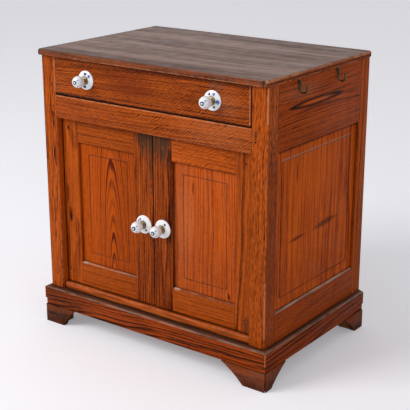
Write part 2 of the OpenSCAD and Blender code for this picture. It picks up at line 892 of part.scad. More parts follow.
// Brass spindle with its neck, a square nut behind wood of the given thickness, and two screws.
module knob_brass_shape(wood_t, turn) {
    pin_end = ball_back + knob_socket - end_room;
    collar_end = rose_t + neck_collar_t;
    collar_start = ball_back - neck_collar_t;
    turned_out() polygon([
        [0, rose_t], [rose_collar_r, rose_t], [rose_collar_r, collar_end],
        [neck_r, collar_end + neck_cone], [neck_r, collar_start - neck_cone],
        [ball_collar_r, collar_start], [ball_collar_r, ball_back],
        [ball_pin_r, ball_back], [ball_pin_r, pin_end], [0, pin_end],
    ]);
    translate([0, -collar_end, 0]) rod_y(spindle_r, collar_end + wood_t + nut_t + spindle_past_nut);
    translate([0, wood_t, 0]) rotate([-90, 0, 0]) cylinder(r = nut_r, h = nut_t, $fn = 4);
    rose_screw_places(turn) translate([0, -rose_screw_seat, 0]) {
        rod_y(screw_r, rose_screw_seat + screw_len);
        translate([0, -screw_head_t, 0]) rod_y(screw_head_r, screw_head_t);
    }
}

// The holes that a knob set needs in the wood behind it.
module knob_bores(wood_t, turn) {
    translate([0, -over, 0]) rod_y(spindle_r + round_fit, wood_t + 2 * over);
    rose_screw_places(turn) translate([0, -over, 0]) rod_y(screw_r + round_fit, over + screw_len + end_room);
}

module at_drawer_knobs() {
    translate([-drawer_knob_x, 0, drawer_knob_z]) children(0);
    translate([drawer_knob_x, 0, drawer_knob_z]) children(1);
}

module drawer_knobs() color(porcelain_colour) placed() at_drawer_knobs() {
    knob_ball_shape();
    knob_ball_shape();
}

module drawer_knob_roses() color(porcelain_colour) placed() at_drawer_knobs() {
    rose_shape(left_rose_turn);
    rose_shape(right_rose_turn);
}

module drawer_knob_brass() color(brass_colour) placed() at_drawer_knobs() {
    knob_brass_shape(drawer_front_t, left_rose_turn);
    knob_brass_shape(drawer_front_t, right_rose_turn);
}

module drawer_bottom_core(grow = [0, 0, 0]) {
    block(
        [drawer_left + drawer_side_t - drawer_bottom_in, drawer_front_t - drawer_bottom_in, drawer_bottom_z],
        [drawer_right - drawer_side_t + drawer_bottom_in, drawer_len, drawer_bottom_z + drawer_bottom_t],
        grow
    );
}

module drawer_back_core(grow = [0, 0, 0]) {
    last_y = drawer_len - drawer_back_t;
    block(
        [drawer_left + drawer_side_t - drawer_housing, last_y - drawer_back_t,
            drawer_bottom_z + drawer_bottom_t + slack],
        [drawer_right - drawer_side_t + drawer_housing, last_y, drawer_side_top - drawer_back_drop],
        grow
    );
}

// The dovetails of one side, from x = left to x = right.
module dovetail_row(left, right, grow) {
    pitch = (drawer_side_top - drawer_low) / dovetails;
    root_y = drawer_front_t + over;
    tip_y = drawer_front_t - dovetail_len - grow;
    tip = dovetail_half + grow;
    root = tip - dovetail_flare;
    for (i = [0 : dovetails - 1])
        translate([left, 0, drawer_low + pitch * (i + 0.5)])
            rotate([90, 0, 90]) linear_extrude(right - left)
                polygon([[root_y, -root], [tip_y, -tip], [tip_y, tip], [root_y, root]]);
}

module drawer_front() color(frame_colour) placed() difference() {
    bar_x([drawer_left, 0, drawer_low], [drawer_right, drawer_front_t, drawer_high]);
    dovetail_row(drawer_left - over, drawer_left + drawer_side_t + slack, slack);
    dovetail_row(drawer_right - drawer_side_t - slack, drawer_right + over, slack);
    drawer_bottom_core([0, slack, slack]);
    at_drawer_knobs() {
        knob_bores(drawer_front_t, left_rose_turn);
        knob_bores(drawer_front_t, right_rose_turn);
    }
}

module drawer_side_shape(left) {
    difference() {
        union() {
            block([left, drawer_front_t, drawer_side_z], [left + drawer_side_t, drawer_len, drawer_side_top]);
            dovetail_row(left, left + drawer_side_t, 0);
        }
        drawer_bottom_core([slack, slack, slack]);
        drawer_back_core([slack, slack, 2 * slack]);
    }
}

module drawer_left_side() color(inner_colour) placed() drawer_side_shape(drawer_left);
module drawer_right_side() color(inner_colour) placed() drawer_side_shape(drawer_right - drawer_side_t);
module drawer_back() color(inner_colour) placed() drawer_back_core();
module drawer_bottom() color(inner_colour) placed() drawer_bottom_core();

// A door is drawn as the left one: x = 0 is its hinge edge, y = 0 its face and z = 0 its lower edge.
module at_left_door() {
    placed() translate([-half_open + door_gap, door_recess, door_z]) children();
}

module at_right_door() {
    placed() mirrored() translate([-half_open + door_gap, door_recess, door_z]) children();
}

module door_rail_core(low, high, grow = [0, 0, 0]) {
    block(
        [door_tenon_in, door_panel_recess, low + tenon_shoulder],
        [door_w - door_tenon_in, door_panel_recess + tenon_t, high - tenon_shoulder],
        grow
    );
}

module door_panel_core(grow = [0, 0, 0]) {
    back = door_panel_recess + door_panel_t;
    block(
        [hinge_stile_w - panel_groove, door_panel_recess, door_bottom_rail_h - panel_groove],
        [door_inner_end + panel_groove, back, door_h - door_top_rail_h + panel_groove],
        grow
    );
}

module door_joints() {
    along_x = [end_room, slack, slack];
    door_rail_core(0, door_bottom_rail_h, along_x);
    door_rail_core(door_h - door_top_rail_h, door_h, along_x);
    door_panel_core([end_room, slack, end_room]);
}

// Two pegs in each stile, one through each tenon.
module door_pegs(r, out) {
    for (x = [hinge_stile_w - door_peg_in, door_inner_end + door_peg_in])
        for (z = [door_bottom_rail_h / 2, door_h - door_top_rail_h / 2])
            translate([x, -out, z]) rod_y(r, door_peg_len + out);
}

module door_peg_bores() {
    door_pegs(peg_r + peg_slack, over);
}

module at_door_knob() {
    translate([door_inner_end + meeting_stile_w / 2, 0, door_knob_up]) children();
}

module hinge_stile_shape() {
    difference() {
        bar_z([0, 0, 0], [hinge_stile_w, door_t, door_h]);
        translate([0, 0, -over]) linear_extrude(door_h + 2 * over)
            polygon([[-over, -over], [pivot_chamfer + over, -over], [-over, pivot_chamfer + over]]);
        door_joints();
        door_peg_bores();
        for (z = [-over, door_h - pin_up - end_room])
            translate([pivot_in, pivot_back, z])
                cylinder(r = pin_r + round_fit, h = pin_up + end_room + over);
    }
}

module meeting_stile_shape() {
    difference() {
        bar_z([door_inner_end, 0, 0], [door_w, door_t, door_h]);
        door_joints();
        door_peg_bores();
        at_door_knob() knob_bores(door_t, door_rose_turn);
    }
}

module door_top_rail_shape() {
    low = door_h - door_top_rail_h;
    difference() {
        union() {
            bar_x([hinge_stile_w, 0, low], [door_inner_end, door_t, door_h]);
            door_rail_core(low, door_h);
        }
        door_panel_core([end_room, slack, end_room]);
        door_peg_bores();
    }
}

module door_bottom_rail_shape() {
    h = door_bottom_rail_h;
    difference() {
        union() {
            translate([hinge_stile_w, 0, 0]) rotate([90, 0, 90]) linear_extrude(door_inner_w)
                polygon([[0, 0], [door_t, 0], [door_t, h], [door_chamfer, h], [0, h - door_chamfer]]);
            door_rail_core(0, h);
        }
        door_panel_core([end_room, slack, end_room]);
        door_peg_bores();
    }
}

module door_panel_shape() {
    difference() {
        door_panel_core();
        translate([hinge_stile_w + door_field_in, door_panel_recess, door_bottom_rail_h + door_field_in])
            scribed_rectangle(
                door_inner_w - 2 * door_field_in,
                door_h - door_top_rail_h - door_bottom_rail_h - 2 * door_field_in
            );
    }
}

module left_door_hinge_stile() color(door_colour) at_left_door() hinge_stile_shape();
module left_door_meeting_stile() color(door_colour) at_left_door() meeting_stile_shape();
module left_door_top_rail() color(door_colour) at_left_door() door_top_rail_shape();
module left_door_bottom_rail() color(door_colour) at_left_door() door_bottom_rail_shape();
module left_door_panel() color(door_colour) at_left_door() door_panel_shape();
module left_door_pegs() color(door_colour) at_left_door() door_pegs(peg_r, 0);
module left_door_knob() color(porcelain_colour) at_left_door() at_door_knob() knob_ball_shape();
module left_door_rose() color(porcelain_colour) at_left_door() at_door_knob() rose_shape(door_rose_turn);
module left_door_knob_brass() color(brass_colour) at_left_door() at_door_knob()
    knob_brass_shape(door_t, door_rose_turn);

module right_door_hinge_stile() color(door_colour) at_right_door() hinge_stile_shape();
module right_door_meeting_stile() color(door_colour) at_right_door() meeting_stile_shape();
module right_door_top_rail() color(door_colour) at_right_door() door_top_rail_shape();
module right_door_bottom_rail() color(door_colour) at_right_door() door_bottom_rail_shape();
module right_door_panel() color(door_colour) at_right_door() door_panel_shape();
module right_door_pegs() color(door_colour) at_right_door() door_pegs(peg_r, 0);
module right_door_knob() color(porcelain_colour) at_right_door() at_door_knob() knob_ball_shape();
module right_door_rose() color(porcelain_colour) at_right_door() at_door_knob() rose_shape(door_rose_turn);
module right_door_knob_brass() color(brass_colour) at_right_door() at_door_knob()
    knob_brass_shape(door_t, door_rose_turn);

top_board();
front_left_post();
front_right_post();
back_left_post();
back_right_post();
left_side_top_rail();
right_side_top_rail();
left_side_bottom_rail();
right_side_bottom_rail();
left_side_panel();
right_side_panel();
drawer_rail();
front_bottom_rail();
back_top_rail();
back_bottom_rail();
back_board_left();
back_board_middle();
back_board_right();
bottom_board();
shelf();
shelf_battens();
drawer_runners();
stop_blocks();
plinth_front();
plinth_left();
plinth_right();
front_left_foot();
front_right_foot();
back_left_foot();
back_right_foot();
foot_corner_blocks();
frame_pegs();
side_hooks();
door_pivot_pins();
drawer_front();
drawer_left_side();
drawer_right_side();
drawer_back();
drawer_bottom();
drawer_knobs();
drawer_knob_roses();
drawer_knob_brass();
left_door_hinge_stile();
left_door_meeting_stile();
left_door_top_rail();
left_door_bottom_rail();
left_door_panel();
left_door_pegs();
left_door_knob();
left_door_rose();
left_door_knob_brass();
right_door_hinge_stile();
right_door_meeting_stile();
right_door_top_rail();
right_door_bottom_rail();
right_door_panel();
right_door_pegs();
right_door_knob();
right_door_rose();
right_door_knob_brass();
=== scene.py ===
"""Finishes the low pitch pine cupboard: worn pine boards, porcelain knobs, brass necks and iron hooks.

Places on the cupboard are in millimetres from the middle of the case's front at the floor, x to the right, y
to the back and z up. Each piece is a merged copy of one solid, with its own cut of wood or its own glaze."""

import json
import math

import bpy
from bpy.props import FloatProperty, FloatVectorProperty, PointerProperty
from mathutils import Matrix, Vector

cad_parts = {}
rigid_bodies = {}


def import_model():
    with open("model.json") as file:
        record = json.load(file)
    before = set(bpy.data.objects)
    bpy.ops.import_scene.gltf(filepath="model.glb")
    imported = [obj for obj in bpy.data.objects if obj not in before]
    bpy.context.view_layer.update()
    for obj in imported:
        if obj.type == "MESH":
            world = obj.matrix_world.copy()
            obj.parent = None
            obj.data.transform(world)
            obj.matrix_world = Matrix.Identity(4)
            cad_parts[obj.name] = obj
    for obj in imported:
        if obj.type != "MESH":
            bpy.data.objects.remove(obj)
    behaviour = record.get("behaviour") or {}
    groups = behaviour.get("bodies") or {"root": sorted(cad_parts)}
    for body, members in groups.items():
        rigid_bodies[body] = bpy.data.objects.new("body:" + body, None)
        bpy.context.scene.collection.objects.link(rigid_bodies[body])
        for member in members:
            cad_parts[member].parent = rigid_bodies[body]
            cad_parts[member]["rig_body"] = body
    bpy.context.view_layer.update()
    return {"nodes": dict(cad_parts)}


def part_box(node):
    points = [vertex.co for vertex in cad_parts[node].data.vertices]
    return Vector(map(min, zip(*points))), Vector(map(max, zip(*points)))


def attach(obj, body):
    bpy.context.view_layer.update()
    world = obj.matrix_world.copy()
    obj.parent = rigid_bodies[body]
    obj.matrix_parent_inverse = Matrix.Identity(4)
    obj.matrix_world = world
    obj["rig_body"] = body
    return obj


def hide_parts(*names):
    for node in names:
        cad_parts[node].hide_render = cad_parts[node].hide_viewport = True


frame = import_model()

bl_info = {
    "name": "Pitch pine cupboard",
    "version": (1, 0, 0),
    "blender": (4, 5, 0),
    "location": "View3D > Sidebar > Cupboard",
    "description": "Dresses the solids of a low pitch pine cupboard in worn boards, porcelain and brass",
    "category": "Object",
}

AXES = {"x": Vector((1, 0, 0)), "y": Vector((0, 1, 0)), "z": Vector((0, 0, 1))}
LEFT_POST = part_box("front_left_post")
RIGHT_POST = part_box("front_right_post")
ORIGIN = Vector(((LEFT_POST[0].x + RIGHT_POST[1].x) / 2, LEFT_POST[0].y, 0))
MILLIMETRE = 0.001


def at(x, y, z):
    """A point given in millimetres from the middle of the case's front at the floor."""
    return ORIGIN + Vector((x, y, z)) * MILLIMETRE


def linear(value):
    """The scene-linear strength of a screen value from 0 to 1, by the screen's usual curve."""
    return value / 12.92 if value <= 0.04045 else ((value + 0.055) / 1.055) ** 2.4


def rgb(red, green, blue):
    """The scene-linear colour of a screen colour given from 0 to 255."""
    return tuple(linear(value / 255) for value in (red, green, blue))


def colour(name, description, red, green, blue):
    """A property for a colour, whose default is given from 0 to 255."""
    tone = rgb(red, green, blue)
    return FloatVectorProperty(
        name=name, description=description, default=tone, subtype="COLOR", size=3, min=0, max=1
    )


def angle(name, description, degrees):
    """A property for an angle, whose default is given in degrees."""
    return FloatProperty(name=name, description=description, default=math.radians(degrees), unit="ROTATION")


def amount(name, description, value, **settings):
    """A property for a strength, a power or another number that isn't negative."""
    return FloatProperty(name=name, description=description, default=value, min=0, **settings)


def length(name, description, value):
    """A property for a length in metres."""
    return amount(name, description, value, subtype="DISTANCE", unit="LENGTH", precision=5)


class PineFinish(bpy.types.PropertyGroup):
    """Colours, wear, and painted shade, sheen and highlights of the pine boards."""

    panel_light: colour("Panel light", "Lightest wood of the door panels", 204, 88, 10)
    panel_dark: colour("Panel dark", "Darkest wood of the door panels", 98, 26, 1)
    frame_light: colour("Frame light", "Lightest wood of stiles, rails and posts", 194, 88, 20)
    frame_dark: colour("Frame dark", "Darkest wood of stiles, rails and posts", 62, 15, 1)
    front_light: colour("Drawer light", "Lightest wood of the drawer's front and its rail", 194, 90, 24)
    front_dark: colour("Drawer dark", "Darkest wood of the drawer's front and its rail", 66, 16, 1)
    side_light: colour("Side light", "Lightest wood of the sides' rails", 190, 80, 16)
    side_dark: colour("Side dark", "Darkest wood of the sides' rails", 44, 12, 2)
    side_panel_light: colour("Side panel light", "Lightest wood of the side panels", 216, 96, 10)
    side_panel_dark: colour("Side panel dark", "Darkest wood of the side panels", 116, 32, 1)
    plinth_light: colour("Plinth light", "Lightest wood of the plinth", 166, 68, 16)
    plinth_dark: colour("Plinth dark", "Darkest wood of the plinth", 34, 9, 1)
    top_light: colour("Top light", "Light streaks of the bare, greyed top", 152, 126, 114)
    top_dark: colour("Top dark", "Dark streaks of the bare, greyed top", 96, 73, 62)
    bare_light: colour("Bare light", "Early wood of unfinished inside boards", 178, 130, 82)
    bare_dark: colour("Bare dark", "Late wood of unfinished inside boards", 122, 80, 46)
    # Rubbed wood, which also serves as painted highlight along the arrises.
    wear_and_highlight: colour("Worn edge", "Wood where handling has rubbed the finish off", 206, 132, 92)
    # Dust, which also serves as painted sheen on ledges and edges that face the bright surroundings.
    dust_and_sheen: colour("Dusty ledge", "Greyed ledges that face upwards", 112, 82, 66)
    # Chalky dirt, which also serves as painted sheen on upward chamfers and scribed lines.
    chalk_and_sheen: colour("Chalky edge", "Pale dirt along chamfers and scribed lines", 186, 164, 148)
    # Grime, which also serves as painted shade and painted shadow in corners, gaps and under overhangs.
    grime_and_shade: colour("Grime", "Dirt gathered in corners and along joints", 30, 16, 8)
    stain: colour("Stain", "Black stain at the head of the meeting stiles", 56, 45, 32)
    knot: colour("Knot", "Dark heart of knots", 46, 20, 8)
    flame: colour("Flame", "Brown figure round knots", 112, 40, 8)
    edge_round: length("Edge rounding", "Radius worn onto the boards' edges", 0.0007)
    top_edge_round: length("Top's edge rounding", "Radius worn onto the top board's edges", 0.0012)
    peg_edge_round: length("Pegs' edge rounding", "Radius worn onto the pegs' ends", 0.0002)
    # How far the grime and painted corner shade reach out of a corner.
    corner_reach: length("Grime reach", "How far dirt reaches out of a corner", 0.006)
    # How far the rubbing and its painted edge highlight reach from a board's edge.
    rub_and_highlight_reach: length("Rubbing reach", "How far rubbing reaches from a board's edge", 0.003)
    grain_height: length("Grain height", "Height of the grain in the surface", 0.00015)


class HardwareFinish(bpy.types.PropertyGroup):
    """Colours of porcelain, brass and iron."""

    glaze: colour("Glaze", "White glaze of the knobs and roses", 250, 250, 252)
    wash: colour("Wash", "Thin pale blue of the painted motifs", 150, 178, 222)
    blue: colour("Blue", "Painted blue of the knobs", 62, 84, 158)
    ink: colour("Ink", "Darkest painted strokes", 26, 30, 70)
    brass: colour("Brass", "Necks of the knobs", 160, 140, 92)
    tarnish: colour("Tarnish", "Dark film on the brass", 74, 62, 38)
    screw: colour("Screw", "Dark screws of the roses", 48, 44, 48)
    iron: colour("Wire", "Bronzed wire of the hooks", 112, 90, 60)
    rust: colour("Film", "Dark film on the wire", 46, 34, 26)


class StudioSetup(bpy.types.PropertyGroup):
    """Camera, lamps and floor."""

    floor_width: length("Floor width", "Width of the plain floor", 60)
    floor: colour("Floor", "Plain floor", 240, 240, 244)
    floor_glow: amount("Floor glow", "Lifts the floor towards white for the camera alone", 0.28)
    backdrop: colour("Backdrop", "Plain background", 236, 236, 243)
    focal: amount("Focal length", "Camera's focal length in millimetres", 94.2)
    sensor: amount("Sensor width", "Camera's sensor width in millimetres", 36)
    turn: angle("Camera turn", "How far the camera turns towards the right side", 36.43)
    dip: angle("Camera dip", "How far the camera looks down", 18.06)
    key_power: amount("Key power", "Power of the large soft lamp", 150, unit="POWER")
    key_width: length("Key width", "Width of the large soft lamp", 2.6)
    fill_power: amount("Fill power", "Power of the fill lamp", 8, unit="POWER")
    fill_width: length("Fill width", "Width of the fill lamp", 2.4)
    sky: amount("Surroundings", "Strength of the even surrounding light", 0.45)


class Graph:
    """A node tree with short ways to add to it."""

    def __init__(self, tree):
        self.tree = tree

    def add(self, kind, values=None, **settings):
        """A new node, whose sockets take the given values or are linked to the given sockets."""
        node = self.tree.nodes.new(kind)
        for key, value in settings.items():
            setattr(node, key, value)
        for key, value in (values or {}).items():
            if isinstance(value, bpy.types.NodeSocket):
                self.tree.links.new(value, node.inputs[key])
            else:
                node.inputs[key].default_value = value
        return node

    def math(self, operation, *values, clamp=False):
        """The result of an operation on one, two or three numbers."""
        node = self.add("ShaderNodeMath", dict(enumerate(values)), operation=operation, use_clamp=clamp)
        return node.outputs[0]

    def sum(self, first, second):
        """The sum of two numbers."""
        return self.math("ADD", first, second)

    def product(self, first, second):
        """The product of two numbers."""
        return self.math("MULTIPLY", first, second)

    def vector(self, operation, *values):
        """The result of an operation on one or two vectors."""
        node = self.add("ShaderNodeVectorMath", dict(enumerate(values)), operation=operation)
        return node.outputs["Value"] if operation in ("LENGTH", "DOT_PRODUCT") else node.outputs[0]

    def parts(self, vector):
        """The x, y and z of a vector."""
        return self.add("ShaderNodeSeparateXYZ", {0: vector}).outputs

    def scale(self, vector, *factors):
        """The vector with its x, y and z each times a factor."""
        return self.vector("MULTIPLY", vector, factors)

    def ramp(self, value, low, high, out_low=0.0, out_high=1.0):
        """Smooth step of value from low to high."""
        values = {0: value, 1: low, 2: high, 3: out_low, 4: out_high}
        return self.add("ShaderNodeMapRange", values, interpolation_type="SMOOTHSTEP").outputs[0]

    def noise(self, vector, detail=2.0, scale=1.0, seed=None, output=0):
        """Noise over a vector, or over the seed alone where there is no vector."""
        values = {"Scale": scale, "Detail": detail}
        if vector is not None:
            values["Vector"] = vector
        if seed is not None:
            values["W"] = seed
        dimensions = "3D" if seed is None else ("1D" if vector is None else "4D")
        return self.add("ShaderNodeTexNoise", values, noise_dimensions=dimensions).outputs[output]

    def mix(self, factor, first, second):
        """The first colour where the factor is 0, the second where it is 1."""
        return self.add("ShaderNodeMix", {0: factor, 6: first, 7: second}, data_type="RGBA").outputs[2]

    def place(self):
        """The place in the piece's own coordinates, in metres."""
        return self.add("ShaderNodeTexCoord").outputs["Object"]


def rgba(value):
    """A colour with full opacity."""
    return tuple(value) + (1.0,)


# The strengths of the fine pores, the rubbing with its painted edge highlight, and the relief, and the
# ripple's pitch in metres, its slant in radians and its sway.
PORES = 0.24
RUB_AND_HIGHLIGHT = 0.6
RELIEF = 0.6
RIPPLE_PITCH = 0.0064
RIPPLE_SLANT = -0.6
RIPPLE_SWAY = 14.0
# The numbers of a board's figure, for the boards that don't give their own.
PINE_FIGURE = dict(
    ring=0.008, phase=0.0, bow=0.0, wobble=0.02, curl=0.003, uneven=1.6, seed=0.0, depth=0.4, contrast=0.7,
    fibre=1.4, fineness=240.0, ripple=0.0, mottle=0.0, blotch=0.5,
)


def ring_number(g, given):
    """How many growth rings lie between the heart of the tree and each point of the board."""
    place, seed = given["Vector"], given["Seed"]
    drift = g.vector("SUBTRACT", g.noise(g.scale(place, 3, 9, 9), seed=seed, output=1), (0.5, 0.5, 0.5))
    wobble = {0: drift, "Scale": given["Wobble"]}
    moved = g.parts(g.add("ShaderNodeVectorMath", wobble, operation="SCALE").outputs[0])
    x, y, z = g.parts(place)
    lift = g.product(g.product(x, x), given["Bow"])
    across = g.sum(y, moved[1])
    depth = g.sum(g.sum(z, moved[2]), lift)
    squares = g.sum(g.product(across, across), g.product(depth, depth))
    curl = g.math("SUBTRACT", g.noise(g.scale(place, 22, 60, 60), detail=3, seed=seed), 0.5)
    radius = g.sum(g.math("SQRT", squares), g.product(curl, given["Curl"]))
    turns = g.sum(g.math("DIVIDE", radius, given["Ring"]), given["Phase"])
    spread = g.noise(None, detail=1, scale=0.45, seed=g.sum(turns, seed))
    return g.sum(turns, g.product(g.math("SUBTRACT", spread, 0.5), given["Uneven"]))


def late_wood(g, turns, seed):
    """The dark end of each ring, weaker in some years than in others."""
    part = g.math("FRACT", turns)
    number = g.sum(g.math("FLOOR", turns), seed)
    year = g.add("ShaderNodeTexWhiteNoise", {"W": number}, noise_dimensions="1D").outputs[0]
    late = g.product(g.ramp(part, 0.3, 0.8), g.ramp(part, 0.88, 1.0, 1.0, 0.0))
    return g.product(late, g.ramp(year, 0.0, 1.0, 0.35, 1.0))


def cross_ripple(g, place, seed):
    """Fine slanting bands across the grain, in patches, as a number round a half."""
    turned = g.add("ShaderNodeMapping", {"Vector": place, "Rotation": (0, 0, RIPPLE_SLANT)}).outputs[0]
    turn = g.product(g.parts(turned)[1], 2 * math.pi / RIPPLE_PITCH)
    sway = g.product(g.noise(g.scale(turned, 28, 60, 20), detail=2, seed=seed), RIPPLE_SWAY)
    wave = g.math("SINE", g.sum(turn, sway))
    patchy = g.ramp(g.noise(g.scale(turned, 45, 90, 20), detail=1, seed=g.sum(seed, 3.0)), 0.3, 0.6)
    return g.sum(g.product(g.product(wave, patchy), 0.25), 0.5)


def pine_group():
    """Growth rings cut by a board. The vector starts at the heart of the tree, its x along the grain."""
    name = "Pine figure"
    if name in bpy.data.node_groups:
        return bpy.data.node_groups[name]
    tree = bpy.data.node_groups.new(name, "ShaderNodeTree")
    sockets = {"Vector": "NodeSocketVector", "Light": "NodeSocketColor", "Dark": "NodeSocketColor"}
    sockets.update((key.title(), "NodeSocketFloat") for key in PINE_FIGURE)
    for key, kind in sockets.items():
        tree.interface.new_socket(name=key, in_out="INPUT", socket_type=kind)
    tree.interface.new_socket(name="Color", in_out="OUTPUT", socket_type="NodeSocketColor")
    tree.interface.new_socket(name="Height", in_out="OUTPUT", socket_type="NodeSocketFloat")
    g = Graph(tree)
    given = g.add("NodeGroupInput").outputs
    place, seed = given["Vector"], given["Seed"]
    late = late_wood(g, ring_number(g, given), seed)
    fine = g.add("ShaderNodeCombineXYZ", {0: 7.0, 1: given["Fineness"], 2: given["Fineness"]}).outputs[0]
    fibre = g.noise(g.vector("MULTIPLY", place, fine), detail=3, seed=seed)
    pores = g.noise(g.scale(place, 90, 420, 420), detail=2, seed=g.sum(seed, 9.0))
    swings = (
        (fibre, given["Fibre"]),
        (cross_ripple(g, place, seed), given["Ripple"]),
        (g.noise(g.scale(place, 55, 460, 460), detail=1, seed=seed), given["Mottle"]),
        (g.noise(g.scale(place, 3, 14, 14), detail=3, seed=seed), given["Blotch"]),
        (g.ramp(pores, 0.36, 0.64), PORES),
    )
    depth = g.sum(given["Depth"], g.product(g.math("SUBTRACT", late, 0.25), given["Contrast"]))
    for pattern, strength in swings:
        depth = g.sum(depth, g.product(g.math("SUBTRACT", pattern, 0.5), strength))
    paint = g.mix(g.math("MULTIPLY", depth, 1.0, clamp=True), given["Light"], given["Dark"])
    height = g.sum(g.product(late, 0.5), fibre)
    g.add("NodeGroupOutput", {"Color": paint, "Height": height})
    return tree


def mark(x, y, z, reach, paint, strength=1.0, turn=(0, 0, 0), soft=0.6, rough=0.5, grain=(70, 70, 70)):
    """Paints an ellipsoid of the given half widths round a point of the case. soft is the share of it that
    fades out, rough how ragged its edge is, and turn its angles in degrees."""

    def layer(g, place, under):
        values = {
            "Vector": place,
            "Location": at(x, y, z),
            "Rotation": [math.radians(degrees) for degrees in turn],
            "Scale": Vector(reach) * MILLIMETRE,
        }
        far = g.vector("LENGTH", g.add("ShaderNodeMapping", values, vector_type="TEXTURE").outputs[0])
        broken = g.math("SUBTRACT", g.noise(g.scale(place, *grain), detail=3), 0.5)
        far = g.sum(far, g.product(broken, rough * 2))
        return g.mix(g.ramp(far, 1.0 - soft, 1.0, strength, 0.0), under, rgba(paint))

    return layer


def patch(paint, strength=1.0, soft=0.6, rough=0.5, grain=(70, 70, 70), **spans):
    """Paints between two levels along x, y or z. soft is how far its edges fade, in millimetres, and rough
    the share of the paint that is missing in patches."""

    def layer(g, place, under):
        parts = g.parts(place)
        broken = g.noise(g.scale(place, *grain), detail=3)
        mask = g.ramp(broken, 0.38, 0.62, strength * (1 - rough), strength)
        for axis, (low, high) in spans.items():
            index = "xyz".index(axis)
            low, high = (ORIGIN[index] + value * MILLIMETRE for value in (low, high))
            edge = soft * MILLIMETRE
            above = g.ramp(parts[index], low - edge, low + edge)
            below = g.ramp(parts[index], high - edge, high + edge, 1.0, 0.0)
            mask = g.product(mask, g.product(above, below))
        return g.mix(mask, under, rgba(paint))

    return layer


def principled(g, **values):
    """A Principled shader and its output, with the given sockets."""
    names = {key.replace("_", " ").title().replace("Ior", "IOR"): value for key, value in values.items()}
    shader = g.add("ShaderNodeBsdfPrincipled", names)
    g.add("ShaderNodeOutputMaterial", {"Surface": shader.outputs[0]})
    return shader


def new_material(name):
    """An empty material and the graph of its nodes."""
    material = bpy.data.materials.new(name)
    material.use_nodes = True
    material.node_tree.nodes.clear()
    return material, Graph(material.node_tree)


def painted_corner_shade(g, paint, grime_and_shade, reach, strength):
    """Darkens corners and joints in the colour of grime: painted shade where little of the open surroundings
    is seen.
    """
    open_sky = g.add("ShaderNodeAmbientOcclusion", {"Distance": reach}, samples=6).outputs["AO"]
    mask = g.product(g.ramp(open_sky, 0.3, 0.85, 1.0, 0.0), strength)
    return g.mix(mask, paint, grime_and_shade)


def rubbed_and_highlit_edges(g, place, paint, wear_and_highlight, reach, strength):
    """Lightens the edges in patches: wear where hands and cloths have rubbed them, and painted highlight
    along the arrises.
    """
    rounded = g.add("ShaderNodeBevel", {"Radius": reach}, samples=6).outputs[0]
    facing = g.vector("DOT_PRODUCT", rounded, g.add("ShaderNodeNewGeometry").outputs["Normal"])
    broken = g.noise(g.scale(place, 38, 38, 38), detail=3, seed=7.0)
    edge = g.ramp(facing, 0.8, 0.99, strength, 0.0)
    mask = g.product(edge, g.ramp(broken, 0.42, 0.62, 0.15, 1.0))
    return g.mix(mask, paint, wear_and_highlight)


def pine(name, along, across, heart, lights, lean=(0, 0), shade=1.0, squeeze=1.0, roughness=0.46,
         specular=0.06, dirt=0.8, layers=(), **figure):
    """Pine with its old varnish. along and across are the board's axes, heart is a point on the middle of
    the tree, in millimetres of the case, and lean is how the tree's line tilts to the board. squeeze draws
    the figure together along the board, and shade makes both tones lighter or darker."""
    wood = bpy.context.scene.pine_finish
    material, g = new_material(name)
    first, second = AXES[along], AXES[across]
    third = first.cross(second)
    line = (first + second * lean[0] + third * lean[1]).normalized()
    side = (second - line * line.dot(second)).normalized()
    turn = Matrix((line, side, line.cross(side)))
    place = g.place()
    scale = Vector((squeeze, 1, 1))
    values = {
        "Vector": place,
        "Location": -(turn @ (scale * at(*heart))),
        "Rotation": turn.to_euler("XYZ"),
        "Scale": scale,
    }
    mapped = g.add("ShaderNodeMapping", values).outputs[0]
    light, dark = (rgba(value * shade for value in tone) for tone in lights)
    given = {"Vector": mapped, "Light": light, "Dark": dark}
    given.update((key.title(), value) for key, value in {**PINE_FIGURE, **figure}.items())
    cut = g.add("ShaderNodeGroup", given, node_tree=pine_group())
    paint = cut.outputs["Color"]
    for layer in layers:
        paint = layer(g, place, paint)
    # Wear and painted highlight along the edges.
    paint = rubbed_and_highlit_edges(g, place, paint, rgba(wood.wear_and_highlight), wood.rub_and_highlight_reach, RUB_AND_HIGHLIGHT)
    # Grime and painted shade in the corners and joints.
    paint = painted_corner_shade(g, paint, rgba(wood.grime_and_shade), wood.corner_reach, dirt)
    relief = {"Strength": RELIEF, "Distance": wood.grain_height, "Height": cut.outputs["Height"]}
    bump = g.add("ShaderNodeBump", relief)
    cloud = g.noise(g.scale(place, 30, 30, 30), detail=3)
    sheen = g.ramp(cloud, 0.3, 0.7, roughness - 0.06, roughness + 0.1)
    principled(g, base_color=paint, roughness=sheen, normal=bump.outputs[0], specular_ior_level=specular)
    return material


def only(obj):
    """Selects obj alone and makes it the active object."""
    bpy.ops.object.select_all(action="DESELECT")
    obj.hide_viewport = False
    obj.select_set(True)
    bpy.context.view_layer.objects.active = obj


def copy_of(node, ending):
    """A merged copy of a solid's surface, as a new piece."""
    name = f"{node}_{ending}"
    piece = bpy.data.objects.new(name, frame["nodes"][node].data.copy())
    piece.data.name = name
    bpy.context.scene.collection.objects.link(piece)
    only(piece)
    bpy.ops.object.mode_set(mode="EDIT")
    bpy.ops.mesh.select_all(action="SELECT")
    bpy.ops.mesh.remove_doubles(threshold=0.00001)
    bpy.ops.mesh.dissolve_limited(angle_limit=math.radians(0.5))
    bpy.ops.object.mode_set(mode="OBJECT")
    if piece.data.has_custom_normals:
        bpy.ops.mesh.customdata_custom_splitnormals_clear()
    return piece


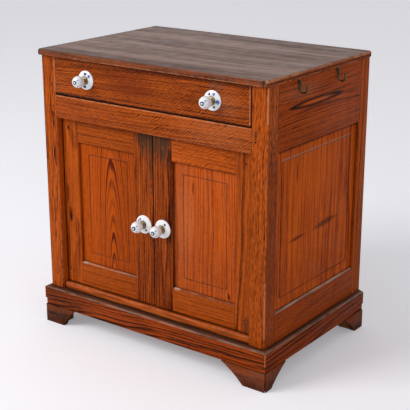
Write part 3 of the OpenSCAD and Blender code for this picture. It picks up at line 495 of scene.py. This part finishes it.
def round_edges(piece, radius):
    """Wears the sharp edges round."""
    only(piece)
    bevel = piece.modifiers.new("Worn edges", "BEVEL")
    bevel.width = radius
    bevel.segments = 2
    bevel.limit_method = "ANGLE"
    bevel.angle_limit = math.radians(30)
    bpy.ops.object.modifier_apply(modifier=bevel.name)


def settle(piece, node, material):
    """Gives the piece its finish and shading and the body of the node that it stands for, and hides the
    node.
    """
    piece.data.materials.clear()
    piece.data.materials.append(material)
    only(piece)
    bpy.ops.object.shade_smooth_by_angle(angle=math.radians(35))
    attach(piece, frame["nodes"][node]["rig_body"])
    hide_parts(node)


def middle(node):
    """The middle of a node's box, in millimetres of the case."""
    low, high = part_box(node)
    return ((low + high) / 2 - ORIGIN) / MILLIMETRE


def board(node, along, across, heart, lights, radius=None, **figure):
    """A worn copy of one board, in its own cut of pine."""
    wood = bpy.context.scene.pine_finish
    piece = copy_of(node, "board")
    round_edges(piece, wood.edge_round if radius is None else radius)
    settle(piece, node, pine(node.replace("_", " "), along, across, heart, lights, **figure))


def bare_board(node, along, across, seed, lean=(0.01, 0.02), layers=()):
    """A board of unfinished pine, seen only from behind or when a door or the drawer is open."""
    wood = bpy.context.scene.pine_finish
    heart = middle(node) + Vector((20, 45, 30))
    tone = (wood.bare_light, wood.bare_dark)
    board(node, along, across, heart, tone, lean=lean, ring=0.005, seed=seed, fibre=0.6, roughness=0.7,
          layers=layers)


def pegs(node):
    """Wooden pegs, seen by their dark ends."""
    wood = bpy.context.scene.pine_finish
    board(node, "y", "z", (0, 0, 400), (wood.flame, wood.knot), radius=wood.peg_edge_round)


# How far out the sides' rails and panels lie, and how far back the doors and their panels.
SIDE_RAIL = 393
SIDE_PANEL = 385
DOOR = 20
DOOR_PANEL = 29


class CUPBOARD_OT_top(bpy.types.Operator):
    """Makes the worn, greyed top board"""

    bl_idname = "cupboard.top"
    bl_label = "Top board"

    def execute(self, context):
        wood = context.scene.pine_finish

        def greyed(g, place, under):
            """Grey streaks on the upper face, over the varnish that is left on the edges."""
            height = g.parts(place)[2]
            streak = g.noise(g.scale(place, 3, 70, 3), detail=4, seed=2.0)
            long_streak = g.noise(g.scale(place, 1.2, 16, 3), detail=3, seed=5.0)
            tone = g.sum(g.product(streak, 0.55), g.product(long_streak, 0.75))
            grey = g.mix(g.ramp(tone, 0.5, 0.82), rgba(wood.top_dark), rgba(wood.top_light))
            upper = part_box("top_board")[1].z
            return g.mix(g.ramp(height, upper - 0.0035, upper - 0.001), under, grey)

        layers = [
            greyed,
            # Dust and painted sheen on the front edge, wear and painted highlight on the arrises of the
            # front and right edges, and painted shade in the line between the right edge's arrises.
            patch(wood.dust_and_sheen, 0.5, y=(-14, -6), z=(836, 856), rough=0.6),
            patch(wood.wear_and_highlight, 0.85, x=(-260, 380), y=(-14, -8), z=(836, 839.5), rough=0.7),
            patch(wood.wear_and_highlight, 0.75, x=(393, 400), y=(0, 440), z=(836, 840), rough=0.9),
            patch(wood.wear_and_highlight, 0.8, x=(392, 400), y=(-14, 531), z=(848, 854), rough=0.7, grain=(30, 30, 90)),
            patch(wood.grime_and_shade, 0.55, x=(394, 400), y=(0, 531), z=(842, 846), rough=0.6),
            mark(-396, -11, 846, (12, 12, 14), wood.stain, rough=0.3),
            mark(396, 529, 846, (12, 12, 14), wood.stain, rough=0.3),
            mark(385, -12, 847, (5, 5, 12), wood.stain, rough=0.3),
            mark(392, -6, 852, (7, 7, 4), wood.wear_and_highlight, 0.7),
            mark(398, 270, 844, (4, 3.5, 3.5), wood.stain, rough=0.1),
        ]
        board("top_board", "x", "y", (0, 250, 800), (wood.frame_light, wood.frame_dark),
              radius=wood.top_edge_round, lean=(0, 0.01), ring=0.006, seed=1.3, depth=0.7, dirt=0.4,
              layers=layers)
        return {"FINISHED"}


class CUPBOARD_OT_posts(bpy.types.Operator):
    """Makes the four corner posts"""

    bl_idname = "cupboard.posts"
    bl_label = "Posts"

    def execute(self, context):
        wood = context.scene.pine_finish
        tone = (wood.frame_light, wood.frame_dark)
        left_layers = [
            # Painted light on the inner face of the post beside the door, lifting it out of its shade, then
            # wear and painted highlight on its front arris.
            patch(wood.frame_light, 0.85, x=(-346, -341), y=(2, 19), z=(137, 654), rough=0.3),
            patch(wood.wear_and_highlight, 0.9, x=(-346, -342), y=(-1, 3), z=(735, 835)),
            patch(wood.wear_and_highlight, 0.25, x=(-346, -342), y=(-1, 3), z=(150, 735), rough=1.0),
        ]
        right_layers = [
            # Wear and painted highlight along the front arris.
            patch(wood.wear_and_highlight, 0.95, x=(390, 394), y=(-1, 3.5), z=(740, 834), rough=0.3),
            patch(wood.wear_and_highlight, 0.3, x=(390, 394), y=(-1, 3.5), z=(310, 740), rough=1.0),
            patch(wood.wear_and_highlight, 0.8, x=(390, 394), y=(-1, 3.5), z=(150, 310)),
            mark(356, 0, 706, (6, 5, 22), wood.stain, 0.8),
            patch(wood.flame, 0.3, x=(330, 391), z=(40, 430), soft=120),
            patch(wood.flame, 0.45, x=(391.5, 396), y=(3.5, 60), z=(40, 640), soft=1.5, rough=0.2),
        ]
        board("front_left_post", "z", "x", (-366, -18, 300), tone, lean=(0.02, 0.03), ring=0.0055, seed=4.2,
              wobble=0.03, curl=0.012, contrast=0.8, fibre=1.6, dirt=0.4, layers=left_layers)
        board("front_right_post", "z", "x", (440, 120, 300), tone, lean=(0.01, 0), seed=8.9, contrast=0.3,
              fibre=1.2, mottle=2.1, layers=right_layers)
        board("back_left_post", "z", "x", (-300, 600, 300), tone, lean=(0.01, 0.02), seed=5.4)
        board("back_right_post", "z", "x", (300, 600, 300), tone, lean=(0.01, 0.02), seed=6.1)
        return {"FINISHED"}


class CUPBOARD_OT_sides(bpy.types.Operator):
    """Makes the rails and panels of the two sides"""

    bl_idname = "cupboard.sides"
    bl_label = "Sides"

    def execute(self, context):
        wood = context.scene.pine_finish
        rails = (wood.side_light, wood.side_dark)
        panels = (wood.side_panel_light, wood.side_panel_dark)
        # Chalk and painted sheen along the top edge of the bottom rails.
        pale_edge_and_sheen = patch(wood.chalk_and_sheen, 0.75, z=(202, 206.5), soft=1.0, grain=(60, 12, 60))
        for side, sign in (("left", -1), ("right", 1)):
            rail, face = sign * SIDE_RAIL, sign * SIDE_PANEL
            seed = 5.0 + sign
            groove = sorted((face - sign * 2, face - sign * 0.3))
            top_layers = [
                mark(rail, 150, 800, (6, 150, 34), wood.wear_and_highlight, 0.2, soft=0.9, rough=0.3),
                mark(rail, 239, 762, (6, 160, 11.5), wood.knot, 0.97, soft=0.2, rough=0.04),
                mark(rail, 239, 762, (6, 116, 7.5), wood.flame, 0.95, soft=0.25, rough=0.05),
                mark(rail, 234, 762, (6, 96, 5.5), wood.frame_light, 0.9, soft=0.5, rough=0.06),
            ]
            panel_layers = [
                mark(face, 262, 560, (6, 230, 130), wood.side_panel_light, 0.35, soft=0.9, rough=0.1),
                patch(wood.flame, 0.3, z=(200, 310), soft=70),
                mark(SIDE_PANEL, 168, 389, (4, 52, 8), wood.flame, 0.85, turn=(3, 0, 0), rough=0.4),
                mark(SIDE_PANEL, 316, 395, (4, 86, 12), wood.knot, 0.65, turn=(3, 0, 0), rough=0.4),
                mark(SIDE_PANEL, 160, 575, (4, 4, 38), wood.knot, 0.8, rough=0.4),
                # Painted shade in the scribed groove and its upright lines, chalk and painted sheen on its
                # top line, painted shadow under the top rail, and darker along the bottom edge.
                patch(wood.side_dark, 0.9, x=groove, soft=0.2, rough=0.2),
                patch(wood.side_dark, 0.7, y=(80, 86), z=(239, 622)),
                patch(wood.side_dark, 0.45, y=(442, 448), z=(239, 622)),
                patch(wood.chalk_and_sheen, 0.35, y=(82, 446), z=(623, 628)),
                patch(wood.grime_and_shade, 0.8, z=(648, 660), soft=3, rough=0.3),
                patch(wood.grime_and_shade, 0.7, z=(200, 209.5), soft=1.5, rough=0.4),
            ]
            board(side + "_side_top_rail", "y", "z", (sign * 353, 241, 759), rails, bow=sign * -0.114,
                  ring=0.0056, phase=0.25, wobble=0.0015, uneven=0.2, seed=seed, depth=0.42, contrast=0.4,
                  layers=top_layers)
            board(side + "_side_bottom_rail", "y", "z", (sign * 340, 200, 20), rails, lean=(0.03, 0),
                  seed=seed, depth=0.5, contrast=0.5, fibre=0.7, layers=[pale_edge_and_sheen])
            board(side + "_side_panel", "z", "y", (sign * 300, 420, 300), panels, lean=(0.01, 0.01),
                  ring=0.012, seed=seed, contrast=0.5, fibre=1.5, fineness=100, layers=panel_layers)
        return {"FINISHED"}


class CUPBOARD_OT_rails(bpy.types.Operator):
    """Makes the rails across the front and the back, and the back boards"""

    bl_idname = "cupboard.rails"
    bl_label = "Front and back rails"

    def execute(self, context):
        wood = context.scene.pine_finish
        layers = [
            patch(wood.wear_and_highlight, 0.16, x=(130, 350), soft=90),
            patch(wood.flame, 0.3, x=(-350, -60), soft=90),
            # Wear and painted highlight along the front arrises of the rail.
            patch(wood.wear_and_highlight, 0.75, y=(-1, 3), z=(720, 724), rough=0.6),
            patch(wood.wear_and_highlight, 0.5, x=(-20, 200), y=(-1, 3), z=(655, 658), rough=0.9),
        ]
        board("drawer_rail", "x", "z", (0, 90, 600), (wood.front_light, wood.front_dark),
              lean=(0.02, 0.01), shade=1.05, seed=3.1, depth=0.42, contrast=0.35, fibre=1.2, ripple=1.2,
              layers=layers)
        dark_front = patch(wood.grime_and_shade, 0.95, y=(-20, 12), rough=0.0)
        for number, node in enumerate(("front_bottom_rail", "back_top_rail", "back_bottom_rail")):
            bare_board(node, "x", "z", 10.0 + number, layers=[dark_front])
        for number, node in enumerate(("back_board_left", "back_board_middle", "back_board_right")):
            bare_board(node, "z", "x", 14.0 + number, lean=(0.01, 0.05))
        return {"FINISHED"}


class CUPBOARD_OT_inside(bpy.types.Operator):
    """Makes the bottom board, the shelf, the battens, the runners, the stops and the corner blocks"""

    bl_idname = "cupboard.inside"
    bl_label = "Inside boards"

    def execute(self, context):
        wood = context.scene.pine_finish
        layers = [
            patch(wood.frame_light, 0.95, y=(0, 22), rough=0.1),
            patch(wood.flame, 0.75, y=(0, 22), rough=1.0, grain=(7, 150, 150)),
            patch(wood.wear_and_highlight, 0.6, y=(0, 12), z=(135.3, 138), rough=0.9),
            patch(wood.grime_and_shade, 0.8, y=(0, 12), z=(118, 121.5), soft=0.8, rough=0.2),
        ]
        board("bottom_board", "x", "y", (0, 300, 60), (wood.bare_light, wood.bare_dark),
              lean=(0.01, 0.02), ring=0.006, seed=20.0, fibre=0.5, specular=0.1, layers=layers)
        for number, (node, along, across) in enumerate((
            ("shelf", "x", "y"), ("shelf_battens", "y", "z"), ("drawer_runners", "y", "z"),
            ("stop_blocks", "x", "z"), ("foot_corner_blocks", "z", "x"),
        )):
            bare_board(node, along, across, 21.0 + number)
        return {"FINISHED"}


class CUPBOARD_OT_plinth(bpy.types.Operator):
    """Makes the plinth, the bracket feet and the frame's pegs"""

    bl_idname = "cupboard.plinth"
    bl_label = "Plinth and feet"

    def execute(self, context):
        wood = context.scene.pine_finish
        tone = (wood.plinth_light, wood.plinth_dark)
        # Dust and painted sheen on the sloping ledge, darker where the ledge meets the case, and chalk and
        # painted sheen on its front arris.
        ledge = [
            patch(wood.dust_and_sheen, 0.8, z=(113.8, 125), rough=0.3),
            patch(wood.grime_and_shade, 0.8, y=(-10, 600), x=(-403, 403), z=(117, 125), soft=1.5, rough=0.1),
            patch(wood.chalk_and_sheen, 0.4, z=(112.8, 115.5), rough=0.7, grain=(24, 24, 60)),
        ]
        ends = [
            patch(wood.grime_and_shade, 0.45, x=(-420, -250), soft=60),
            patch(wood.wear_and_highlight, 0.8, x=(406, 410), y=(-17, -12), z=(77, 113), rough=0.3),
        ]
        board("plinth_front", "x", "z", (60, 45, 40), tone, lean=(0.01, 0.02), ring=0.0055, bow=0.03,
              seed=31.0, depth=0.46, contrast=1.1, fibre=2.2, ripple=0.4, layers=ledge + ends)
        for side, sign in (("left", -1), ("right", 1)):
            board("plinth_" + side, "y", "z", (sign * 350, 250, 50), tone, lean=(0.02, 0.03), shade=0.76,
                  ring=0.01, seed=33.0 + sign, depth=0.5, contrast=1.5, fibre=1.6, layers=ledge)
        foot = [
            patch(wood.dust_and_sheen, 0.4, z=(-1, 60), rough=0.6, grain=(20, 20, 50)),
            patch(wood.grime_and_shade, 0.75, z=(-1, 24), soft=14, rough=0.4, grain=(25, 25, 25)),
            patch(wood.grime_and_shade, 0.5, x=(-420, -300), soft=20),
        ]
        for number, corner in enumerate(("front_left", "front_right", "back_left", "back_right")):
            node = corner + "_foot"
            board(node, "x", "z", middle(node) + Vector((0, 60, -30)), tone, shade=0.8, seed=36.0 + number,
                  layers=foot)
        pegs("frame_pegs")
        return {"FINISHED"}


class CUPBOARD_OT_drawer(bpy.types.Operator):
    """Makes the boards of the drawer"""

    bl_idname = "cupboard.drawer"
    bl_label = "Drawer"

    def execute(self, context):
        wood = context.scene.pine_finish
        layers = [
            patch(wood.wear_and_highlight, 0.8, x=(335.5, 339), y=(-1, 3), rough=0.4),
            mark(-60, 0, 780, (150, 6, 60), wood.flame, 0.65, soft=0.9),
            mark(250, 0, 775, (90, 6, 50), wood.wear_and_highlight, 0.16, soft=0.9),
            # Dust and painted sheen near the right end, painted shade along the top under the top board, and
            # painted shade along the bottom edge over the gap to the rail.
            mark(231, 0, 820, (40, 6, 16), wood.dust_and_sheen, 0.45, soft=0.9),
            patch(wood.grime_and_shade, 0.5, z=(826, 836), soft=6, rough=0.4),
            patch(wood.grime_and_shade, 0.9, z=(726, 731), soft=1.0, rough=0.3),
            patch(wood.grime_and_shade, 0.8, x=(-345, -120), z=(726, 733), soft=1.5),
        ]
        board("drawer_front", "x", "z", (-40, 110, 900), (wood.front_light, wood.front_dark),
              lean=(0.03, 0.01), seed=41.0, depth=0.52, contrast=0.35, fibre=1.2, ripple=1.0, layers=layers)
        for number, (node, along, across) in enumerate((
            ("drawer_left_side", "y", "z"), ("drawer_right_side", "y", "z"), ("drawer_back", "x", "z"),
            ("drawer_bottom", "x", "y"),
        )):
            bare_board(node, along, across, 44.0 + number)
        return {"FINISHED"}


class CUPBOARD_OT_doors(bpy.types.Operator):
    """Makes the stiles, rails, panels and pegs of the two doors"""

    bl_idname = "cupboard.doors"
    bl_label = "Doors"

    def execute(self, context):
        wood = context.scene.pine_finish
        frames = (wood.frame_light, wood.frame_dark)
        panels = (wood.panel_light, wood.panel_dark)
        boards = {**self.stiles(wood), **self.rails(wood), **self.panels(wood)}
        for node in sorted(boards, key=lambda node: node.startswith("right")):
            heart, figure = boards[node]
            along, across = ("x", "z") if "rail" in node else ("z", "x")
            board(node, along, across, heart, panels if "panel" in node else frames, **figure)
        pegs("left_door_pegs")
        pegs("right_door_pegs")
        return {"FINISHED"}

    def foot(self, wood):
        """Painted shade along the lower edge of a door, where it meets the sill."""
        return patch(wood.grime_and_shade, 0.85, z=(139, 142.5), soft=1.0, rough=0.3)

    def stiles(self, wood):
        """The hearts and figures of the upright frame boards."""
        foot = self.foot(wood)
        dim = patch(wood.flame, 0.3, z=(130, 330), soft=60)
        hinge = dict(lean=(0.01, 0.01))
        meeting = dict(lean=(0.01, 0.01), ring=0.0045, wobble=0.01, contrast=0.45, fibre=2.2)
        stain = dict(soft=0.8, rough=0.7, grain=(90, 90, 12))
        return {
            "left_door_hinge_stile": ((-300, -60, 300), dict(hinge, ring=0.009, seed=51.0, layers=[
                mark(-329, DOOR, 423, (7, 6, 44), wood.flame, 0.9, rough=0.3),
                mark(-331, DOOR, 262, (6, 6, 84), wood.flame, 0.8),
                mark(-321, DOOR, 358, (12, 6, 42), wood.flame, 0.85, rough=0.3),
                mark(-320, DOOR, 352, (7, 6, 22), wood.knot, rough=0.25),
                mark(-318, DOOR, 627, (5, 6, 9), wood.knot, 0.9, rough=0.2),
                mark(-330, DOOR, 181, (4, 5, 7), wood.knot, 0.8, rough=0.2),
                foot,
            ])),
            "left_door_meeting_stile": ((-80, 90, 300), dict(meeting, seed=52.0, depth=0.56, layers=[
                mark(-26, DOOR, 645, (56, 8, 80), wood.stain, 0.8, **stain),
                mark(-3, DOOR, 570, (9, 8, 120), wood.stain, 0.7, rough=0.6),
                dim,
                foot,
            ])),
            "right_door_hinge_stile": ((330, 90, 300), dict(hinge, shade=0.93, seed=56.0, layers=[
                mark(322, DOOR, 165, (12, 6, 34), wood.stain, 0.6),
                foot,
            ])),
            "right_door_meeting_stile": ((60, 80, 300), dict(meeting, seed=57.0, depth=0.68, layers=[
                mark(36, DOOR, 640, (52, 8, 96), wood.stain, 0.85, **stain),
                dim,
                foot,
            ])),
        }

    def rails(self, wood):
        """The hearts and figures of the frame boards that lie across."""
        top = dict(contrast=0.3, fibre=1.0, ripple=0.9)
        bottom = dict(contrast=0.35, fibre=0.6, layers=[
            # Chalk and painted sheen along the top edge of the bottom rails, and chalk in the panels' lower
            # corners.
            patch(wood.chalk_and_sheen, 0.35, z=(210, 214), rough=0.9, grain=(14, 60, 60)),
            self.foot(wood),
            mark(-270, DOOR + 5, 212, (16, 9, 5), wood.chalk_and_sheen, 0.8),
            mark(80, DOOR + 5, 212, (16, 9, 5), wood.chalk_and_sheen, 0.7),
        ])
        return {
            "left_door_top_rail": ((-150, 90, 540), dict(top, seed=53.0, shade=0.94)),
            "left_door_bottom_rail": ((-150, 90, 90), dict(bottom, seed=54.0)),
            "right_door_top_rail": ((150, 90, 540), dict(top, seed=58.0, shade=1.2)),
            "right_door_bottom_rail": ((150, 90, 90), dict(bottom, seed=59.0)),
        }

    def panels(self, wood):
        """The hearts and figures of the panels: a flame on the left, straight lines on the right."""
        # Painted shade in the scribed groove round each panel's field.
        groove = patch(wood.knot, 0.85, y=(DOOR_PANEL + 0.3, DOOR_PANEL + 2), soft=0.2, rough=0.3)
        shadow = patch(wood.grime_and_shade, 0.7, z=(582, 600), soft=1.5, rough=0.3)
        left_layers = [
            patch(wood.panel_light, 0.45, x=(-290, -228), soft=25),
            groove,
            shadow,
            patch(wood.flame, 0.3, x=(-158, -80), soft=20),
        ]
        right_layers = [
            mark(100, DOOR_PANEL, 420, (60, 6, 230), wood.wear_and_highlight, 0.16, soft=0.9, rough=0.2),
            patch(wood.flame, 0.3, z=(200, 340), soft=70),
            patch(wood.wear_and_highlight, 0.12, rough=1.0, grain=(330, 330, 9)),
            groove,
            shadow,
            mark(134, DOOR_PANEL, 520, (4, 5, 24), wood.flame, 0.9, rough=0.3),
            mark(256, DOOR_PANEL, 229, (5, 5, 14), wood.knot, 0.95, turn=(0, -12, 0), rough=0.2),
        ]
        return {
            "left_door_panel": ((-158, 44, 215), dict(
                lean=(-0.02, 0.115), shade=0.82, squeeze=1.35, ring=0.0068, wobble=0.008, uneven=0.3,
                seed=55.0, depth=0.32, contrast=1.2, fibre=1.1, layers=left_layers,
            )),
            "right_door_panel": ((40, 130, 215), dict(
                lean=(0, 0.01), shade=1.09, ring=0.01, seed=60.0, depth=0.4, contrast=0.4, fibre=1.0,
                layers=right_layers,
            )),
        }


def porcelain(name, layers):
    """White glaze with its painted motifs."""
    hardware = bpy.context.scene.hardware_finish
    material, g = new_material(name.replace("_", " ") + " glaze")
    place = g.place()
    cloud = g.noise(g.scale(place, 60, 60, 60), detail=2)
    paint = g.mix(g.ramp(cloud, 0.5, 0.75, 0.0, 0.05), rgba(hardware.glaze), rgba(hardware.wash))
    for layer in layers:
        paint = layer(g, place, paint)
    principled(g, base_color=paint, roughness=0.14, coat_weight=0.4, coat_roughness=0.06)
    return material


def metal(name, bright, film, layers=()):
    """Dull metal under a broken film."""
    material, g = new_material(name.replace("_", " ") + " metal")
    place = g.place()
    cloud = g.noise(g.scale(place, 160, 160, 160), detail=4)
    paint = g.mix(g.ramp(cloud, 0.42, 0.62, 0.0, 0.7), rgba(bright), rgba(film))
    for layer in layers:
        paint = layer(g, place, paint)
    principled(g, base_color=paint, roughness=g.ramp(cloud, 0.3, 0.7, 0.28, 0.5), metallic=0.75)
    return material


# How far roses and balls stand off the wood, how far spots are from a rose's middle, and the paint's grain.
ROSE_FRONT = 7
BALL_FRONT = 50
SPOT_RING = 19
BRUSH = (300, 300, 300)
WASH = (260, 260, 260)


def rose_backs(node):
    """The middles of a node's roses, one or two side by side, on the wood that they lie against."""
    low, high = ((corner - ORIGIN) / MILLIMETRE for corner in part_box(node))
    radius = (high.z - low.z) / 2
    places = sorted({round(low.x + radius, 3), round(high.x - radius, 3)})
    return [(x, round(high.y, 3), round(high.z - radius, 3)) for x in places]


def ball_motif(x, y, z, hardware):
    """A ring of blue with a pale wash beside it, on the front of the ball."""
    return [
        mark(x + 6, y, z + 3, (9, 6, 8), hardware.wash, 0.75, soft=0.7, rough=0.8, grain=WASH),
        mark(x + 1, y, z, (7, 7, 7), hardware.ink, 1.0, soft=0.2, rough=0.2, grain=BRUSH),
        mark(x + 1, y, z, (3, 7, 3), hardware.glaze, 1.0, soft=0.3, rough=0.1),
        mark(x + 10, y + 5, z + 8, (4, 6, 2), hardware.blue, 0.85, rough=0.3, grain=BRUSH),
        mark(x + 8, y + 6, z - 9, (3, 6, 2.5), hardware.blue, 0.8, rough=0.3, grain=BRUSH),
    ]


def neck_layers(x, y, z, hardware):
    """Brass on the neck in front of the rose, and tarnish where the neck meets it."""
    return [
        mark(x, y - 2 * ROSE_FRONT, z, (13.5, 13, 13.5), hardware.brass, soft=0.2, rough=0.1),
        mark(x, y - ROSE_FRONT, z, (14, 2.6, 14), hardware.tarnish, soft=0.3, rough=0.1),
    ]


def rose_motif(x, y, z, hardware, spots):
    """Spots on a pale wash, each given by its angle from upright, its half width and its paint."""
    layers = [mark(x, y, z, (14, 12, 14), hardware.tarnish, 0.9, soft=0.25, grain=BRUSH)]
    for degrees, size, paint in spots:
        around = math.radians(degrees)
        place = (x + SPOT_RING * math.sin(around), y, z + SPOT_RING * math.cos(around))
        wash = size * 1.7
        layers.append(mark(*place, (wash, 8, wash), hardware.wash, 0.8, rough=0.6, grain=WASH))
        layers.append(mark(*place, (size, 8, size), paint, 0.95, soft=0.4, grain=BRUSH))
    return layers


class CUPBOARD_OT_knobs(bpy.types.Operator):
    """Makes the porcelain knobs and roses and their brass necks"""

    bl_idname = "cupboard.knobs"
    bl_label = "Knobs"

    def execute(self, context):
        hardware = context.scene.hardware_finish
        blue, ink = hardware.blue, hardware.ink
        left_spots = ((8, 4, ink), (48, 4, blue), (190, 6, ink))
        right_spots = ((20, 4, blue), (95, 6, blue), (215, 5, ink))
        sets = (
            ("drawer_knobs", "drawer_knob_roses", "drawer_knob_brass", (left_spots, right_spots)),
            ("left_door_knob", "left_door_rose", "left_door_knob_brass", (((-60, 3, ink),),)),
            ("right_door_knob", "right_door_rose", "right_door_knob_brass", (((200, 3, blue),),)),
        )
        for ball_node, rose_node, brass_node, spots_of_roses in sets:
            balls, roses, necks = [], [], []
            for (x, y, z), spots in zip(rose_backs(rose_node), spots_of_roses, strict=True):
                balls += ball_motif(x, y - BALL_FRONT, z, hardware)
                roses += rose_motif(x, y - ROSE_FRONT + 2, z, hardware, spots)
                necks += neck_layers(x, y, z, hardware)
            for node, layers in ((ball_node, balls), (rose_node, roses)):
                settle(copy_of(node, "glazed"), node, porcelain(node, layers))
            brass = metal(brass_node, hardware.screw, hardware.ink, layers=necks)
            settle(copy_of(brass_node, "neck"), brass_node, brass)
        return {"FINISHED"}


class CUPBOARD_OT_iron(bpy.types.Operator):
    """Makes the wire hooks on the side and the doors' pivot pins"""

    bl_idname = "cupboard.iron"
    bl_label = "Hooks and pins"

    def execute(self, context):
        hardware = context.scene.hardware_finish
        for node in ("side_hooks", "door_pivot_pins"):
            settle(copy_of(node, "wire"), node, metal(node, hardware.iron, hardware.rust))
        return {"FINISHED"}


# The lamps' places and what they are aimed at, in metres, and the camera's place, in millimetres.
KEY_PLACE = (-2.2, -3.6, 3.4)
FILL_PLACE = (3.6, -1.6, 2.2)
LAMP_AIM = Vector((0, 0, 0.45))
CAMERA_PLACE = (1823.6, -2205.4, 1384.8)


class CUPBOARD_OT_stage(bpy.types.Operator):
    """Sets up the floor, the surroundings, the lamps and the camera"""

    bl_idname = "cupboard.stage"
    bl_label = "Studio"

    def execute(self, context):
        studio = context.scene.studio_setup
        self.floor(studio)
        self.surroundings(context, studio)
        self.lamp("Key", KEY_PLACE, studio.key_width, studio.key_power)
        self.lamp("Fill", FILL_PLACE, studio.fill_width, studio.fill_power)
        self.camera(context, studio)
        context.scene.view_settings.view_transform = "Standard"
        return {"FINISHED"}

    def floor(self, studio):
        """A plain floor, a little brighter to the camera than its shade."""
        bpy.ops.mesh.primitive_plane_add(size=studio.floor_width, location=(0, 0, 0))
        floor = bpy.context.active_object
        floor.name = "Floor"
        material, g = new_material("Plain floor")
        seen = g.add("ShaderNodeLightPath").outputs["Is Camera Ray"]
        glow = g.product(seen, studio.floor_glow)
        principled(g, base_color=rgba(studio.floor), roughness=0.9, emission_color=rgba(studio.backdrop),
                   emission_strength=glow)
        floor.data.materials.append(material)

    def surroundings(self, context, studio):
        """Even light all round, behind which the camera, glass and metal see the backdrop."""
        world = bpy.data.worlds.new("Studio")
        world.use_nodes = True
        world.node_tree.nodes.clear()
        g = Graph(world.node_tree)
        path = g.add("ShaderNodeLightPath").outputs
        seen = g.math("MAXIMUM", path["Is Camera Ray"], path["Is Transmission Ray"])
        seen = g.math("MAXIMUM", seen, path["Is Glossy Ray"])
        light = g.add("ShaderNodeBackground", {"Color": (1, 1, 1, 1), "Strength": studio.sky})
        shown = g.add("ShaderNodeBackground", {"Color": rgba(studio.backdrop), "Strength": 1.0})
        both = g.add("ShaderNodeMixShader", {0: seen, 1: light.outputs[0], 2: shown.outputs[0]})
        g.add("ShaderNodeOutputWorld", {"Surface": both.outputs[0]})
        context.scene.world = world

    def lamp(self, name, place, width, power):
        """A square soft lamp, aimed at the middle of the cupboard."""
        bpy.ops.object.light_add(type="AREA", location=place)
        lamp = bpy.context.active_object
        lamp.name = name
        lamp.data.size = width
        lamp.data.energy = power
        lamp.rotation_euler = (LAMP_AIM - lamp.location).to_track_quat("-Z", "Y").to_euler()

    def camera(self, context, studio):
        """The camera at the photograph's viewing angle, from the front and the right."""
        rotation = (math.pi / 2 - studio.dip, 0, studio.turn)
        bpy.ops.object.camera_add(location=at(*CAMERA_PLACE), rotation=rotation)
        camera = bpy.context.active_object
        camera.data.sensor_width = studio.sensor
        camera.data.lens = studio.focal
        context.scene.camera = camera


OPERATORS = (
    CUPBOARD_OT_top, CUPBOARD_OT_posts, CUPBOARD_OT_sides, CUPBOARD_OT_rails, CUPBOARD_OT_inside,
    CUPBOARD_OT_plinth, CUPBOARD_OT_drawer, CUPBOARD_OT_doors, CUPBOARD_OT_knobs, CUPBOARD_OT_iron,
    CUPBOARD_OT_stage,
)


class CUPBOARD_PT_sidebar(bpy.types.Panel):
    """Lists the cupboard's operators, sizes and colours"""

    bl_idname = "CUPBOARD_PT_sidebar"
    bl_label = "Cupboard"
    bl_space_type = "VIEW_3D"
    bl_region_type = "UI"
    bl_category = "Cupboard"

    def draw(self, context):
        for operator in OPERATORS:
            self.layout.operator(operator.bl_idname)
        for name in GROUPS:
            values = getattr(context.scene, name)
            box = self.layout.box()
            for key in values.bl_rna.properties.keys():
                if key not in ("rna_type", "name"):
                    box.prop(values, key)


GROUPS = {"pine_finish": PineFinish, "hardware_finish": HardwareFinish, "studio_setup": StudioSetup}


def register():
    for kind in (*GROUPS.values(), *OPERATORS, CUPBOARD_PT_sidebar):
        bpy.utils.register_class(kind)
    for name, kind in GROUPS.items():
        setattr(bpy.types.Scene, name, PointerProperty(type=kind))


def unregister():
    for name in GROUPS:
        delattr(bpy.types.Scene, name)
    for kind in reversed((*GROUPS.values(), *OPERATORS, CUPBOARD_PT_sidebar)):
        bpy.utils.unregister_class(kind)


def main():
    """Registers the classes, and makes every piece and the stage."""
    register()
    bpy.ops.object.select_all(action="DESELECT")
    for operator in OPERATORS:
        group, name = operator.bl_idname.split(".")
        getattr(getattr(bpy.ops, group), name)()


if __name__ == "__main__":
    main()
